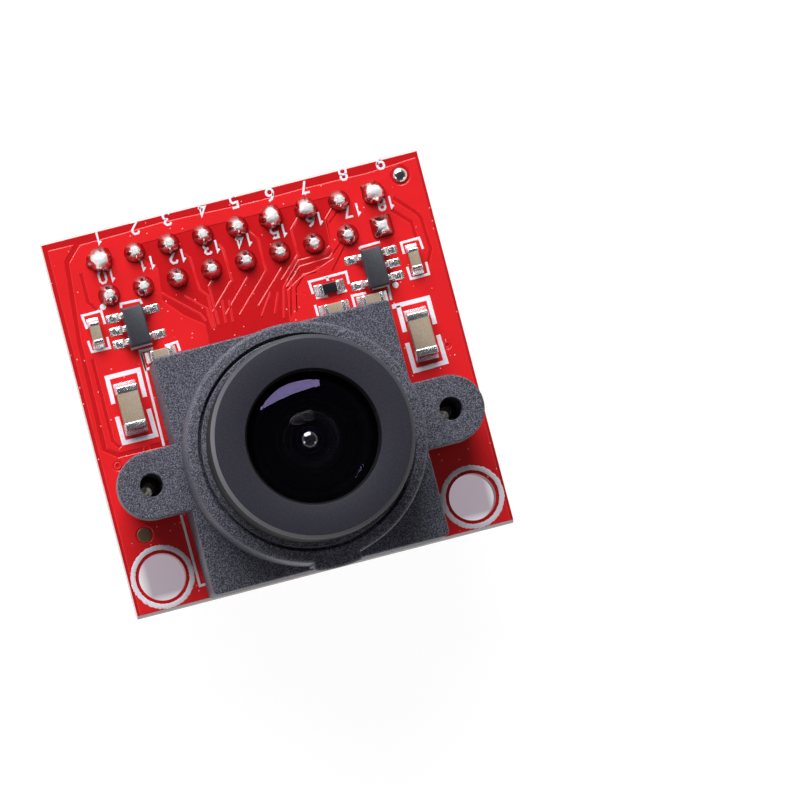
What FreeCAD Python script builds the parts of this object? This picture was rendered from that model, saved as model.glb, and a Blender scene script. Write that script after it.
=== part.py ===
"""Camera module: a square circuit board that carries a screw-in lens in a plastic holder,
a two-row pin header soldered in from the back, two regulators, seven capacitors, a link
resistor and a clock oscillator.

The frame has its origin midway between the two mounting holes, on the back face of the board.
+Z points the way the lens looks, and +Y points from the mounting holes to the pin header.
All sizes are in millimetres. Heights whose names end in _height are above the board's front face.
"""
import FreeCAD, Part
import math
import os

# Circuit board
board_thickness = 1.6
board_edge_to_holes = 2.5
score_depth = 0.5
score_width = 0.2
mounting_hole_spacing = 23.1
mounting_hole_to_side = 2.45
mounting_hole_diameter = 3.4

# Pin header
header_columns = 9
header_rows = 2
header_pitch = 2.54
header_to_regulators = 1.36
header_to_board_edge = 2.3
header_body_height = 2.54
header_notch = 0.55
pin_width = 0.64
pin_tail_length = 6.0
pin_tip_height = 1.0
pin_taper_length = 0.35
pin_taper_inset = 0.13
pin_hole_clearance = 0.18
plated_hole_sides = 8
solder_fill_clearance = 0.01
solder_foot_reach = 0.3
solder_height = 0.72

# Lens holder
axis_line = 6.3
holder_side = 17.4
holder_corner_radius = 0.35
holder_block_height = 5.6
holder_edge_chamfer = 0.1
collar_to_side = 0.15
collar_edge_chamfer = 0.2
collar_groove_inset = 1.05
collar_groove_width = 0.22
collar_groove_depth = 0.6
key_post_width = 3.4
key_post_projection = 0.6
ear_hole_to_side = 2.35
ear_width = 4.85
ear_plate_thickness = 2.0
ear_boss_diameter = 3.8
ear_hole_clearance = 0.025
holder_wall = 1.5
holder_cavity_height = 3.2
holder_cavity_corner = 0.8
filter_seat_thickness = 1.2
filter_seat_width = 0.5

# Fixing screws of the holder
screw_shank_diameter = 1.6
screw_board_clearance = 0.1
screw_tip_diameter = 0.9
screw_tip_length = 0.7
screw_tip_height = 1.1
screw_head_diameter = 3.4
screw_head_thickness = 1.25
screw_crown_diameter = 2.6
screw_recess_width = 0.5
screw_recess_length = 1.9
screw_recess_depth = 0.7

# Light filter and image sensor
filter_side = 9.0
filter_thickness = 0.55
filter_clearance = 0.05
sensor_side = 6.0
sensor_thickness = 0.6
cover_glass_inset = 0.15
cover_glass_thickness = 0.4

# Lens barrel
lens_thread_diameter = 12.0
lens_running_clearance = 0.05
lens_head_diameter = 14.4
lens_head_length = 4.8
lens_head_to_collar = 0.8
lens_back_clearance = 0.6
lens_head_chamfer = 0.28
thread_relief_length = 0.6
thread_relief_depth = 0.35
lens_barrel_wall = 0.8
lens_mouth_slope = 0.33
lens_lip_width = 0.75
lens_lip_slope_length = 0.4
lens_lip_length = 1.0
lens_back_inset = 1.0
element_clearance = 0.02

# Glass elements, from the front of the lens to its back. A bulge or a hollow is the depth of a
# curved surface, from its middle to its rim.
surface_steps = 3
surface_to_lip = 0.05
bulge_to_spacer = 0.5
hollow_to_spacer = 0.1
front_lens_bulge = 0.836
front_lens_centre = 0.9
front_lens_hollow = 1.87
front_spacer_length = 0.97
spacer_wall = 1.5
middle_lens_bulge = 0.588
middle_lens_rim = 0.8
aperture_ring_length = 1.1
aperture_ring_web = 0.25
aperture_diameter = 2.4
rear_lens_rim = 1.2
rear_lens_bulge = 0.925
rear_air_gap = 0.24
field_lens_bulge = 0.434
field_lens_rim = 0.8
retaining_ring_length = 0.8
retaining_ring_wall = 1.9
spanner_slot_width = 0.8
spanner_slot_depth = 0.4

# Regulators: a small five-lead plastic case
regulator_length = 2.9
regulator_width = 1.6
regulator_case_height = 1.0
regulator_parting_height = 0.5
regulator_draft = 0.1
regulator_standoff = 0.1
lead_pitch = 0.95
lead_width = 0.4
lead_thickness = 0.15
lead_reach = 0.6
lead_foot_length = 0.4
lead_bury = 0.15

# Places on the board front, as distances from the holder's side and from its edge towards the header
regulator_right_offset = (0.16, 2.75)
regulator_left_offset = (0.16, 2.9)

# Chip capacitors and the link resistor: length, width, height, terminal length
large_chip = (3.2, 1.6, 1.1, 0.55)
small_chip = (1.6, 0.8, 0.75, 0.32)
thin_chip = (1.6, 0.8, 0.45, 0.3)
terminal_plating = 0.04
terminal_chamfer = 0.06
chips = {
    "bulk_capacitor_right": (large_chip, 1, (2.24, -2.72), 90.0),
    "bulk_capacitor_left": (large_chip, -1, (2.01, -2.67), 90.0),
    "output_capacitor_right": (small_chip, 1, (3.14, 2.65), 90.0),
    "output_capacitor_left": (small_chip, -1, (3.08, 3.13), 90.0),
    "input_capacitor_right": (small_chip, 1, (-0.55, 0.58), 0.0),
    "input_capacitor_left": (small_chip, -1, (-1.07, 0.5), 0.0),
    "supply_capacitor": (small_chip, 1, (-3.36, 0.62), 0.0),
    "link_resistor": (thin_chip, 1, (-3.34, 2.15), 0.0),
}

# Clock oscillator on the back of the board
oscillator_length = 3.2
oscillator_width = 2.5
oscillator_base_thickness = 0.5
oscillator_lid_thickness = 0.35
oscillator_lid_inset = 0.15
oscillator_corner_radius = 0.25
oscillator_offset = (-3.5, -2.4)


# Levels, lines and sizes that follow from the values above
board_front = board_thickness
holder_edge = axis_line + holder_side / 2
regulator_edge = holder_edge + regulator_right_offset[1] + regulator_length / 2
header_line = regulator_edge + header_to_regulators
board_lower_edge = -board_edge_to_holes
board_upper_edge = header_line + (header_rows - 1) * header_pitch + header_to_board_edge
board_length = board_upper_edge - board_lower_edge
board_width = mounting_hole_spacing + 2 * mounting_hole_to_side
plated_hole_diameter = pin_width + 2 * pin_hole_clearance
solder_foot_diameter = plated_hole_diameter + 2 * solder_foot_reach
lead_span = regulator_width + 2 * lead_reach
ear_spacing = holder_side + 2 * ear_hole_to_side
ear_hole_diameter = screw_shank_diameter + 2 * ear_hole_clearance
filter_window = filter_side - 2 * filter_seat_width
collar_diameter = holder_side - 2 * collar_to_side
key_post_reach = collar_diameter / 2 + key_post_projection
collar_groove_diameter = collar_diameter - 2 * collar_groove_inset
lens_bore_diameter = lens_thread_diameter + 2 * lens_running_clearance
element_bore_diameter = lens_thread_diameter - 2 * lens_barrel_wall
element_diameter = element_bore_diameter - 2 * element_clearance
lens_lip_diameter = element_bore_diameter - 2 * lens_lip_width
lens_mouth_diameter = lens_lip_diameter + 2 * lens_mouth_slope
spacer_opening_diameter = element_bore_diameter - 2 * spacer_wall
retaining_ring_opening = element_bore_diameter - 2 * retaining_ring_wall

# The glass surfaces, as (depth, diameter that the surface covers), and the lengths they lead to.
# A hollow has its depth below zero.
front_lens_front = (front_lens_bulge, lens_lip_diameter - 2 * surface_to_lip)
front_lens_back = (-front_lens_hollow, spacer_opening_diameter - 2 * hollow_to_spacer)
bulge_diameter = spacer_opening_diameter - 2 * bulge_to_spacer
middle_lens_front = (middle_lens_bulge, bulge_diameter)
rear_lens_back = (rear_lens_bulge, bulge_diameter)
field_lens_front = (field_lens_bulge, bulge_diameter)
front_lens_rim = front_lens_centre + front_lens_hollow - front_lens_bulge
rear_spacer_length = rear_lens_bulge + rear_air_gap + field_lens_bulge
lens_stack = (front_lens_rim, front_spacer_length, middle_lens_rim, aperture_ring_length, rear_lens_rim,
              rear_spacer_length, field_lens_rim, retaining_ring_length)
lens_back_height = holder_cavity_height + filter_seat_thickness + lens_back_clearance
lens_front_height = lens_back_height + lens_back_inset + sum(lens_stack) + lens_lip_length
collar_height = lens_front_height - lens_head_length - lens_head_to_collar


def vec(x, y, z=0.0):
    return FreeCAD.Vector(x, y, z)


def above_board(height):
    return board_front + height


def block(centre_x, centre_y, size_x, size_y, bottom, top):
    """An upright box given by its centre in plan and its two levels."""
    corner = vec(centre_x - size_x / 2, centre_y - size_y / 2, bottom)
    return Part.makeBox(size_x, size_y, top - bottom, corner)


def rod(centre_x, centre_y, diameter, bottom, top):
    return Part.makeCylinder(diameter / 2, top - bottom, vec(centre_x, centre_y, bottom))


def flat_sided(levels):
    """A solid with flat faces through rings of corners, given from its bottom to its top."""
    faces = [levels[0][::-1], levels[-1]]
    for lower, upper in zip(levels, levels[1:]):
        for here in range(len(lower)):
            after = (here + 1) % len(lower)
            faces.append([lower[here], lower[after], upper[after], upper[here]])
    shell = Part.makeShell([Part.Face(Part.makePolygon(face + face[:1])) for face in faces])
    return Part.makeSolid(shell)


def rectangle(size_x, size_y, level):
    half_x = size_x / 2
    half_y = size_y / 2
    corners = [(-half_x, -half_y), (half_x, -half_y), (half_x, half_y), (-half_x, half_y)]
    return [vec(x, y, level) for x, y in corners]


def tapered(*sections):
    """A bar through rectangles, each given as (size along X, size along Y, level)."""
    return flat_sided([rectangle(*section) for section in sections])


def ring_of_points(diameter, level):
    """Corners round a plated hole, with their sides at half the diameter from the middle."""
    step = 2 * math.pi / plated_hole_sides
    reach = diameter / 2 / math.cos(step / 2)
    return [vec(reach * math.cos(step * turn), reach * math.sin(step * turn), level)
            for turn in range(plated_hole_sides)]


def turned(points, centre_x=0.0, centre_y=0.0):
    """Turns a closed outline of (radius, height) points about an upright axis."""
    outline = [vec(radius, 0, height) for radius, height in points]
    face = Part.Face(Part.makePolygon(outline + outline[:1]))
    solid = face.revolve(vec(0, 0), vec(0, 0, 1), 360)
    solid.translate(vec(centre_x, centre_y))
    return solid


def upright_edges(solid):
    """The straight edges of a solid that run along Z."""
    chosen = []
    for edge in solid.Edges:
        box = edge.BoundBox
        if box.XLength < 1e-6 and box.YLength < 1e-6 and box.ZLength > 1e-6:
            chosen.append(edge)
    return chosen


def edges_at_level(solid, level):
    return [edge for edge in solid.Edges
            if abs(edge.BoundBox.ZMin - level) < 1e-6 and abs(edge.BoundBox.ZMax - level) < 1e-6]


def both_sides(offset):
    return (-offset, offset)


def pin_places():
    """Plan positions of the header pins, counted along the outer row and then the inner row."""
    places = []
    for row in reversed(range(header_rows)):
        for column in range(header_columns):
            x = (column - (header_columns - 1) / 2) * header_pitch
            places.append((x, header_line + row * header_pitch))
    return places


def plated_hole(x, y, diameter, bottom, top):
    """A plated hole or its filling. It has few sides, because it is small and repeats."""
    hole = flat_sided([ring_of_points(diameter, bottom), ring_of_points(diameter, top)])
    hole.translate(vec(x, y))
    return hole


def make_circuit_board():
    """The board, with a scored bevel along the two edges where it was snapped from its panel."""
    full = (board_width, board_length)
    inset = (board_width, board_length - 2 * score_width)
    board = tapered((*inset, 0), (*full, score_depth), (*full, board_thickness - score_depth),
                    (*inset, board_thickness))
    board.translate(vec(0, (board_lower_edge + board_upper_edge) / 2))
    holes = [rod(x, 0, mounting_hole_diameter, 0, board_thickness)
             for x in both_sides(mounting_hole_spacing / 2)]
    screw_hole = screw_shank_diameter + 2 * screw_board_clearance
    holes += [rod(x, axis_line, screw_hole, 0, board_thickness) for x in both_sides(ear_spacing / 2)]
    holes += [plated_hole(x, y, plated_hole_diameter, 0, board_thickness) for x, y in pin_places()]
    return board.cut(Part.makeCompound(holes))


def make_header_body():
    """One moulded strip, with a notch on each side between neighbouring columns."""
    length = header_columns * header_pitch
    width = header_rows * header_pitch
    centre_y = header_line + (header_rows - 1) * header_pitch / 2
    cell_starts = [-length / 2 + column * header_pitch for column in range(header_columns)]
    near_side = []
    far_side = []
    for start in cell_starts:
        end = start + header_pitch
        near_side += [(start, header_notch), (start + header_notch, 0),
                      (end - header_notch, 0), (end, header_notch)]
    for x, inset in near_side:
        far_side.append((x, width - inset))
    outline = []
    for x, y in near_side + far_side[::-1]:
        point = vec(x, centre_y - width / 2 + y, -header_body_height)
        if not outline or (point - outline[-1]).Length > 1e-6:
            outline.append(point)
    body = Part.Face(Part.makePolygon(outline + outline[:1])).extrude(vec(0, 0, header_body_height))
    sockets = [block(x, y, pin_width, pin_width, -header_body_height, 0) for x, y in pin_places()]
    return body.cut(Part.makeCompound(sockets))


def make_pin(x, y):
    bottom = -header_body_height - pin_tail_length
    top = above_board(pin_tip_height)
    full = (pin_width, pin_width)
    tip = (pin_width - 2 * pin_taper_inset, pin_width - 2 * pin_taper_inset)
    pin = tapered((*tip, bottom), (*full, bottom + pin_taper_length), (*full, top - pin_taper_length),
                  (*tip, top))
    pin.translate(vec(x, y))
    return pin


def make_solder_joint(x, y):
    """The fill of one plated hole and the cone of solder round the pin on the front face."""
    fill_diameter = plated_hole_diameter - 2 * solder_fill_clearance
    fill = plated_hole(0, 0, fill_diameter, 0, board_front)
    foot = ring_of_points(solder_foot_diameter, board_front)
    neck = ring_of_points(plated_hole_diameter, above_board(solder_height))
    joint = fill.fuse(flat_sided([foot, neck])).removeSplitter()
    joint.translate(vec(x, y))
    return joint.cut(make_pin(x, y))


def holder_ear(x):
    """A flat lug level with the block's top, with a round boss that reaches the board."""
    top = above_board(holder_block_height)
    plate_bottom = top - ear_plate_thickness
    plate = block(x / 2, axis_line, abs(x), ear_width, plate_bottom, top)
    plate = plate.fuse(rod(x, axis_line, ear_width, plate_bottom, top))
    return plate.fuse(rod(x, axis_line, ear_boss_diameter, board_front, top))


def holder_inside():
    """Everything that is hollow in the holder, from the sensor chamber up to the lens bore."""
    cavity_side = holder_side - 2 * holder_wall
    cavity_top = above_board(holder_cavity_height)
    cavity = block(0, axis_line, cavity_side, cavity_side, board_front, cavity_top)
    cavity = cavity.makeFillet(holder_cavity_corner, upright_edges(cavity))
    recess_side = filter_side + 2 * filter_clearance
    recess_top = cavity_top + filter_thickness
    recess = block(0, axis_line, recess_side, recess_side, cavity_top, recess_top)
    seat_top = cavity_top + filter_seat_thickness
    window = block(0, axis_line, filter_window, filter_window, recess_top, seat_top)
    bore = rod(0, axis_line, lens_bore_diameter, seat_top, above_board(collar_height))
    return cavity.fuse([recess, window, bore])


def collar_groove():
    top = above_board(collar_height)
    outer = rod(0, axis_line, collar_groove_diameter + 2 * collar_groove_width, top - collar_groove_depth, top)
    return outer.cut(rod(0, axis_line, collar_groove_diameter, top - collar_groove_depth, top))


def make_lens_holder():
    block_top = above_board(holder_block_height)
    collar_top = above_board(collar_height)
    base = block(0, axis_line, holder_side, holder_side, board_front, block_top)
    base = base.makeFillet(holder_corner_radius, upright_edges(base))
    ears = [holder_ear(x) for x in both_sides(ear_spacing / 2)]
    base = base.fuse(ears).removeSplitter()
    base = base.makeChamfer(holder_edge_chamfer, edges_at_level(base, block_top))
    collar = rod(0, axis_line, collar_diameter, board_front, collar_top)
    post_centre = axis_line - key_post_reach / 2
    post = block(0, post_centre, key_post_width, key_post_reach, board_front, collar_top)
    post = post.common(rod(0, axis_line, 2 * key_post_reach, board_front, collar_top))
    upper = collar.fuse(post).removeSplitter()
    upper = upper.makeChamfer(collar_edge_chamfer, edges_at_level(upper, collar_top))
    holder = base.fuse(upper).removeSplitter()
    hollows = [holder_inside(), collar_groove()]
    hollows += [rod(x, axis_line, ear_hole_diameter, board_front, block_top)
                for x in both_sides(ear_spacing / 2)]
    return holder.cut(hollows)


def make_holder_screw(x):
    """A pan-head screw from the back of the board, up into the boss of one ear."""
    tip = above_board(screw_tip_height)
    head_radius = screw_head_diameter / 2
    shank_radius = screw_shank_diameter / 2
    screw = turned([
        (0, -screw_head_thickness),
        (screw_crown_diameter / 2, -screw_head_thickness),
        (head_radius, 0),
        (shank_radius, 0),
        (shank_radius, tip - screw_tip_length),
        (screw_tip_diameter / 2, tip),
        (0, tip),
    ], x, axis_line)
    recess_top = screw_recess_depth - screw_head_thickness
    arms = [
        block(x, axis_line, screw_recess_length, screw_recess_width, -screw_head_thickness, recess_top),
        block(x, axis_line, screw_recess_width, screw_recess_length, -screw_head_thickness, recess_top),
    ]
    return screw.cut(arms)


def make_light_filter():
    bottom = above_board(holder_cavity_height)
    return block(0, axis_line, filter_side, filter_side, bottom, bottom + filter_thickness)


def make_image_sensor():
    return block(0, axis_line, sensor_side, sensor_side, board_front, above_board(sensor_thickness))


def make_cover_glass():
    side = sensor_side - 2 * cover_glass_inset
    bottom = above_board(sensor_thickness)
    return block(0, axis_line, side, side, bottom, bottom + cover_glass_thickness)


def lens_levels():
    """Heights of the seats inside the lens, from the front lip to the back of the last ring."""
    levels = {"front": above_board(lens_front_height)}
    levels["front_lens_top"] = levels["front"] - lens_lip_length
    levels["front_spacer_top"] = levels["front_lens_top"] - front_lens_rim
    levels["middle_lens_top"] = levels["front_spacer_top"] - front_spacer_length
    levels["aperture_ring_top"] = levels["middle_lens_top"] - middle_lens_rim
    levels["rear_lens_top"] = levels["aperture_ring_top"] - aperture_ring_length
    levels["rear_spacer_top"] = levels["rear_lens_top"] - rear_lens_rim
    levels["field_lens_top"] = levels["rear_spacer_top"] - rear_spacer_length
    levels["retaining_ring_top"] = levels["field_lens_top"] - field_lens_rim
    levels["retaining_ring_bottom"] = levels["retaining_ring_top"] - retaining_ring_length
    return levels


def make_lens_barrel():
    front = above_board(lens_front_height)
    head_bottom = front - lens_head_length
    back = above_board(lens_back_height)
    head_radius = lens_head_diameter / 2
    neck_radius = lens_thread_diameter / 2
    bore_radius = element_bore_diameter / 2
    lip_radius = lens_lip_diameter / 2
    return turned([
        (lens_mouth_diameter / 2, front),
        (head_radius - lens_head_chamfer, front),
        (head_radius, front - lens_head_chamfer),
        (head_radius, head_bottom),
        (neck_radius - thread_relief_depth, head_bottom),
        (neck_radius - thread_relief_depth, head_bottom - thread_relief_length),
        (neck_radius, head_bottom - thread_relief_length - thread_relief_depth),
        (neck_radius, back),
        (bore_radius, back),
        (bore_radius, front - lens_lip_length),
        (lip_radius, front - lens_lip_length),
        (lip_radius, front - lens_lip_slope_length),
    ], 0, axis_line)


def glass_surface(depth, aperture, level, outward):
    """Points of one spherical surface, from the axis to its rim at the given level."""
    radius = ((aperture / 2) ** 2 + depth ** 2) / (2 * abs(depth))
    points = []
    for step in range(surface_steps + 1):
        across = aperture / 2 * step / surface_steps
        fall = radius - math.sqrt(radius ** 2 - across ** 2)
        points.append((across, level + outward * (depth - math.copysign(fall, depth))))
    return points


def lens_element(top, rim, front=None, back=None):
    """A glass disc. A side with no surface given is flat."""
    front_points = glass_surface(*front, top, 1) if front else [(0, top)]
    back_points = glass_surface(*back, top - rim, -1) if back else [(0, top - rim)]
    edge = [(element_diameter / 2, top), (element_diameter / 2, top - rim)]
    return turned(front_points + edge + back_points[::-1], 0, axis_line)


def lens_ring(top, length, opening):
    outer = rod(0, axis_line, element_diameter, top - length, top)
    return outer.cut(rod(0, axis_line, opening, top - length, top))


def make_aperture_ring(top):
    """A spacer with a thin web across it, and the stop hole through the web."""
    bottom = top - aperture_ring_length
    ring = lens_ring(top, aperture_ring_length, spacer_opening_diameter)
    web = rod(0, axis_line, spacer_opening_diameter, bottom, bottom + aperture_ring_web)
    return ring.fuse(web).removeSplitter().cut(rod(0, axis_line, aperture_diameter, bottom, top))


def make_retaining_ring(top):
    ring = lens_ring(top, retaining_ring_length, retaining_ring_opening)
    bottom = top - retaining_ring_length
    slot = block(0, axis_line, element_diameter, spanner_slot_width, bottom, bottom + spanner_slot_depth)
    return ring.cut(slot)


def make_lens():
    level = lens_levels()
    return {
        "lens_barrel": make_lens_barrel(),
        "front_lens": lens_element(level["front_lens_top"], front_lens_rim, front_lens_front, front_lens_back),
        "front_spacer": lens_ring(level["front_spacer_top"], front_spacer_length, spacer_opening_diameter),
        "middle_lens": lens_element(level["middle_lens_top"], middle_lens_rim, front=middle_lens_front),
        "aperture_ring": make_aperture_ring(level["aperture_ring_top"]),
        "rear_lens": lens_element(level["rear_lens_top"], rear_lens_rim, back=rear_lens_back),
        "rear_spacer": lens_ring(level["rear_spacer_top"], rear_spacer_length, spacer_opening_diameter),
        "field_lens": lens_element(level["field_lens_top"], field_lens_rim, front=field_lens_front),
        "retaining_ring": make_retaining_ring(level["retaining_ring_top"]),
    }


def regulator_lead(side, y):
    """A gull-wing lead: out of the case, down and out again along the board."""
    inner = regulator_width / 2 - lead_bury
    tip = lead_span / 2
    heel = tip - lead_foot_length
    upper = regulator_standoff + regulator_parting_height
    lower_bend = heel + lead_thickness
    outline = [
        (inner, upper + lead_thickness),
        (heel, upper + lead_thickness),
        (lower_bend, upper),
        (lower_bend, lead_thickness),
        (tip, lead_thickness),
        (tip, 0),
        (lower_bend - lead_thickness, 0),
        (heel - lead_thickness / 2, upper),
        (inner, upper),
    ]
    points = [vec(side * x, y - lead_width / 2, above_board(z)) for x, z in outline]
    return Part.Face(Part.makePolygon(points + points[:1])).extrude(vec(0, lead_width, 0))


def make_regulator(three_lead_side):
    """The case and its five leads: three on one long side and two on the other."""
    rows = {three_lead_side: (-lead_pitch, 0.0, lead_pitch), -three_lead_side: (-lead_pitch, lead_pitch)}
    leads = [regulator_lead(side, y) for side, offsets in rows.items() for y in offsets]
    bottom = above_board(regulator_standoff)
    parting = bottom + regulator_parting_height
    top = bottom + regulator_case_height
    full = (regulator_width, regulator_length)
    narrow = (regulator_width - 2 * regulator_draft, regulator_length - 2 * regulator_draft)
    case = tapered((*narrow, bottom), (*full, parting), (*narrow, top)).cut(leads)
    return case, Part.makeCompound(leads)


def make_chip(size):
    """A chip component lying along X: its body, and the two plated ends that wrap round it."""
    length, width, height, terminal = size
    core_length = length - 2 * terminal_plating
    core_width = width - 2 * terminal_plating
    core_bottom = above_board(terminal_plating)
    core_top = above_board(height - terminal_plating)
    core = block(0, 0, core_length, core_width, core_bottom, core_top)
    ends = []
    for side in (-1, 1):
        inner = length / 2 - terminal
        outer = length / 2
        outline = [
            (inner, 0),
            (outer, 0),
            (outer, height - terminal_chamfer),
            (outer - terminal_chamfer, height),
            (inner, height),
        ]
        points = [vec(side * x, -width / 2, above_board(z)) for x, z in outline]
        end = Part.Face(Part.makePolygon(points + points[:1])).extrude(vec(0, width, 0))
        ends.append(end.cut(core))
    return core, Part.makeCompound(ends)


def make_oscillator():
    """A ceramic base against the back face, with a flat metal lid on it."""
    base = block(0, 0, oscillator_length, oscillator_width, -oscillator_base_thickness, 0)
    base = base.makeFillet(oscillator_corner_radius, upright_edges(base))
    lid_length = oscillator_length - 2 * oscillator_lid_inset
    lid_width = oscillator_width - 2 * oscillator_lid_inset
    lid_bottom = -oscillator_base_thickness - oscillator_lid_thickness
    lid = block(0, 0, lid_length, lid_width, lid_bottom, -oscillator_base_thickness)
    lid = lid.makeFillet(oscillator_corner_radius, upright_edges(lid))
    return base, lid


def placed(shape, place, angle=0.0):
    shape = shape.copy()
    shape.rotate(vec(0, 0), vec(0, 0, 1), angle)
    shape.translate(vec(*place))
    return shape


def board_place(side, offset):
    """A point on the board front, by its distances from the holder's side and upper edge."""
    return side * (holder_side / 2 + offset[0]), holder_edge + offset[1]


def make_all():
    nodes = {
        "circuit_board": make_circuit_board(),
        "header_body": make_header_body(),
        "solder_joints": Part.makeCompound([make_solder_joint(x, y) for x, y in pin_places()]),
        "lens_holder": make_lens_holder(),
        "holder_screws": Part.makeCompound([make_holder_screw(x) for x in both_sides(ear_spacing / 2)]),
        "light_filter": make_light_filter(),
        "image_sensor": make_image_sensor(),
        "sensor_cover_glass": make_cover_glass(),
    }
    for number, (x, y) in enumerate(pin_places(), start=1):
        nodes[f"header_pin_{number:02d}"] = make_pin(x, y)
    nodes.update(make_lens())
    for name, side, offset in (("regulator_right", 1, regulator_right_offset),
                               ("regulator_left", -1, regulator_left_offset)):
        case, leads = make_regulator(side)
        place = board_place(side, offset)
        nodes[f"{name}_case"] = placed(case, place)
        nodes[f"{name}_leads"] = placed(leads, place)
    for name, (size, side, offset, angle) in chips.items():
        body, ends = make_chip(size)
        place = board_place(side, offset)
        nodes[f"{name}_body"] = placed(body, place, angle)
        nodes[f"{name}_ends"] = placed(ends, place, angle)
    base, lid = make_oscillator()
    place = board_place(-1, oscillator_offset)
    nodes["oscillator_base"] = placed(base, place)
    nodes["oscillator_lid"] = placed(lid, place)
    return nodes


os.makedirs("parts", exist_ok=True)
for node_name, node_shape in make_all().items():
    node_shape.exportStep(f"parts/{node_name}.step")
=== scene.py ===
"""Looks of the camera module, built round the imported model.

Plan positions and heights are in millimetres until a mesh is made, in the CAD frame: +Z is the way
the lens looks, and +Y points from the mounting holes to the pin header.
"""
import math
import random

import bmesh
import bpy
from mathutils import Matrix, Vector, noise
from mathutils.geometry import tessellate_polygon


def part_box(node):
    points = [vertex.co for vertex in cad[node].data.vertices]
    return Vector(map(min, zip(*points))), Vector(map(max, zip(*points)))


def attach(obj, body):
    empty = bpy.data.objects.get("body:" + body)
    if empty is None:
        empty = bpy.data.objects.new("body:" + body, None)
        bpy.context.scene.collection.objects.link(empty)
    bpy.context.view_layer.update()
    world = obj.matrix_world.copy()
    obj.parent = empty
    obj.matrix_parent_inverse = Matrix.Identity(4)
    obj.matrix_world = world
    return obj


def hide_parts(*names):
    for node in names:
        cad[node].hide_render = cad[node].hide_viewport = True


MM = 0.001

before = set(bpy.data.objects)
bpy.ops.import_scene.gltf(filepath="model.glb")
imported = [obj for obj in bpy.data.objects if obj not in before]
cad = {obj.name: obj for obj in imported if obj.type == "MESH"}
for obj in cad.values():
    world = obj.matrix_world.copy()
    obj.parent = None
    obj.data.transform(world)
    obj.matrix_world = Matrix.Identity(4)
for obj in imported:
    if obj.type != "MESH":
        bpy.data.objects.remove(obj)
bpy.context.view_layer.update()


def lowest(node):
    return [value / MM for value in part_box(node)[0]]


def highest(node):
    return [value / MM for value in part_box(node)[1]]


def middle(node):
    return [(low + high) / 2 for low, high in zip(lowest(node), highest(node))]


# Places that several pieces share
BOARD_LOW, BOARD_HIGH = lowest("circuit_board"), highest("circuit_board")
BOARD_TOP = BOARD_HIGH[2]
AXIS = (0.0, middle("lens_barrel")[1])
MOUNTING_PLACES = [(-11.55, 0.0), (11.55, 0.0)]
MOUNTING_RADIUS = 1.7
EAR_PLACES = [(-11.05, AXIS[1]), (11.05, AXIS[1])]


# Camera
PICTURE_WIDTH = 800
SENSOR_WIDTH = 36.0
LENS_LENGTH = 352.17
EYE = (-51.52, -20.14, 561.35)
AIM = (8.25, 8.07, 1.6)
PICTURE_TURN = math.radians(14.715)
NEAREST, FARTHEST = 0.01, 20

camera_back = (Vector(EYE) - Vector(AIM)).normalized()
picture_top = Vector((math.sin(PICTURE_TURN), math.cos(PICTURE_TURN), 0))
camera_right = picture_top.cross(camera_back).normalized()
camera_up = camera_back.cross(camera_right)
pixels_per_unit = LENS_LENGTH / SENSOR_WIDTH * PICTURE_WIDTH


def make_camera():
    made = bpy.data.objects.new("camera", bpy.data.cameras.new("camera"))
    bpy.context.scene.collection.objects.link(made)
    made.data.lens = LENS_LENGTH
    made.data.sensor_width = SENSOR_WIDTH
    made.data.clip_start = NEAREST
    made.data.clip_end = FARTHEST
    turn = Matrix((camera_right, camera_up, camera_back)).transposed()
    made.matrix_world = Matrix.LocRotScale(Vector(EYE) * MM, turn, None)
    bpy.context.scene.camera = made


def spot(px, py, level=BOARD_TOP):
    """The plan point at a level that the photograph shows at a pixel."""
    half = PICTURE_WIDTH / 2
    ray = camera_right * (px - half) - camera_up * (py - half) - camera_back * pixels_per_unit
    share = (level - EYE[2]) / ray.z
    return EYE[0] + ray.x * share, EYE[1] + ray.y * share


def spots(*pixels):
    return [spot(px, py) for px, py in pixels]


# Material helpers
def tone(red, green, blue):
    """A colour as the picture shows it, 0 to 255, as linear light with its alpha."""
    def to_linear(value):
        share = value / 255
        return share / 12.92 if share <= 0.04045 else ((share + 0.055) / 1.055) ** 2.4
    return to_linear(red), to_linear(green), to_linear(blue), 1.0


def darker(colour, share):
    return tuple(value * share for value in colour[:3]) + (1,)


SPECK_RADIUS = 0.12


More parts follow.
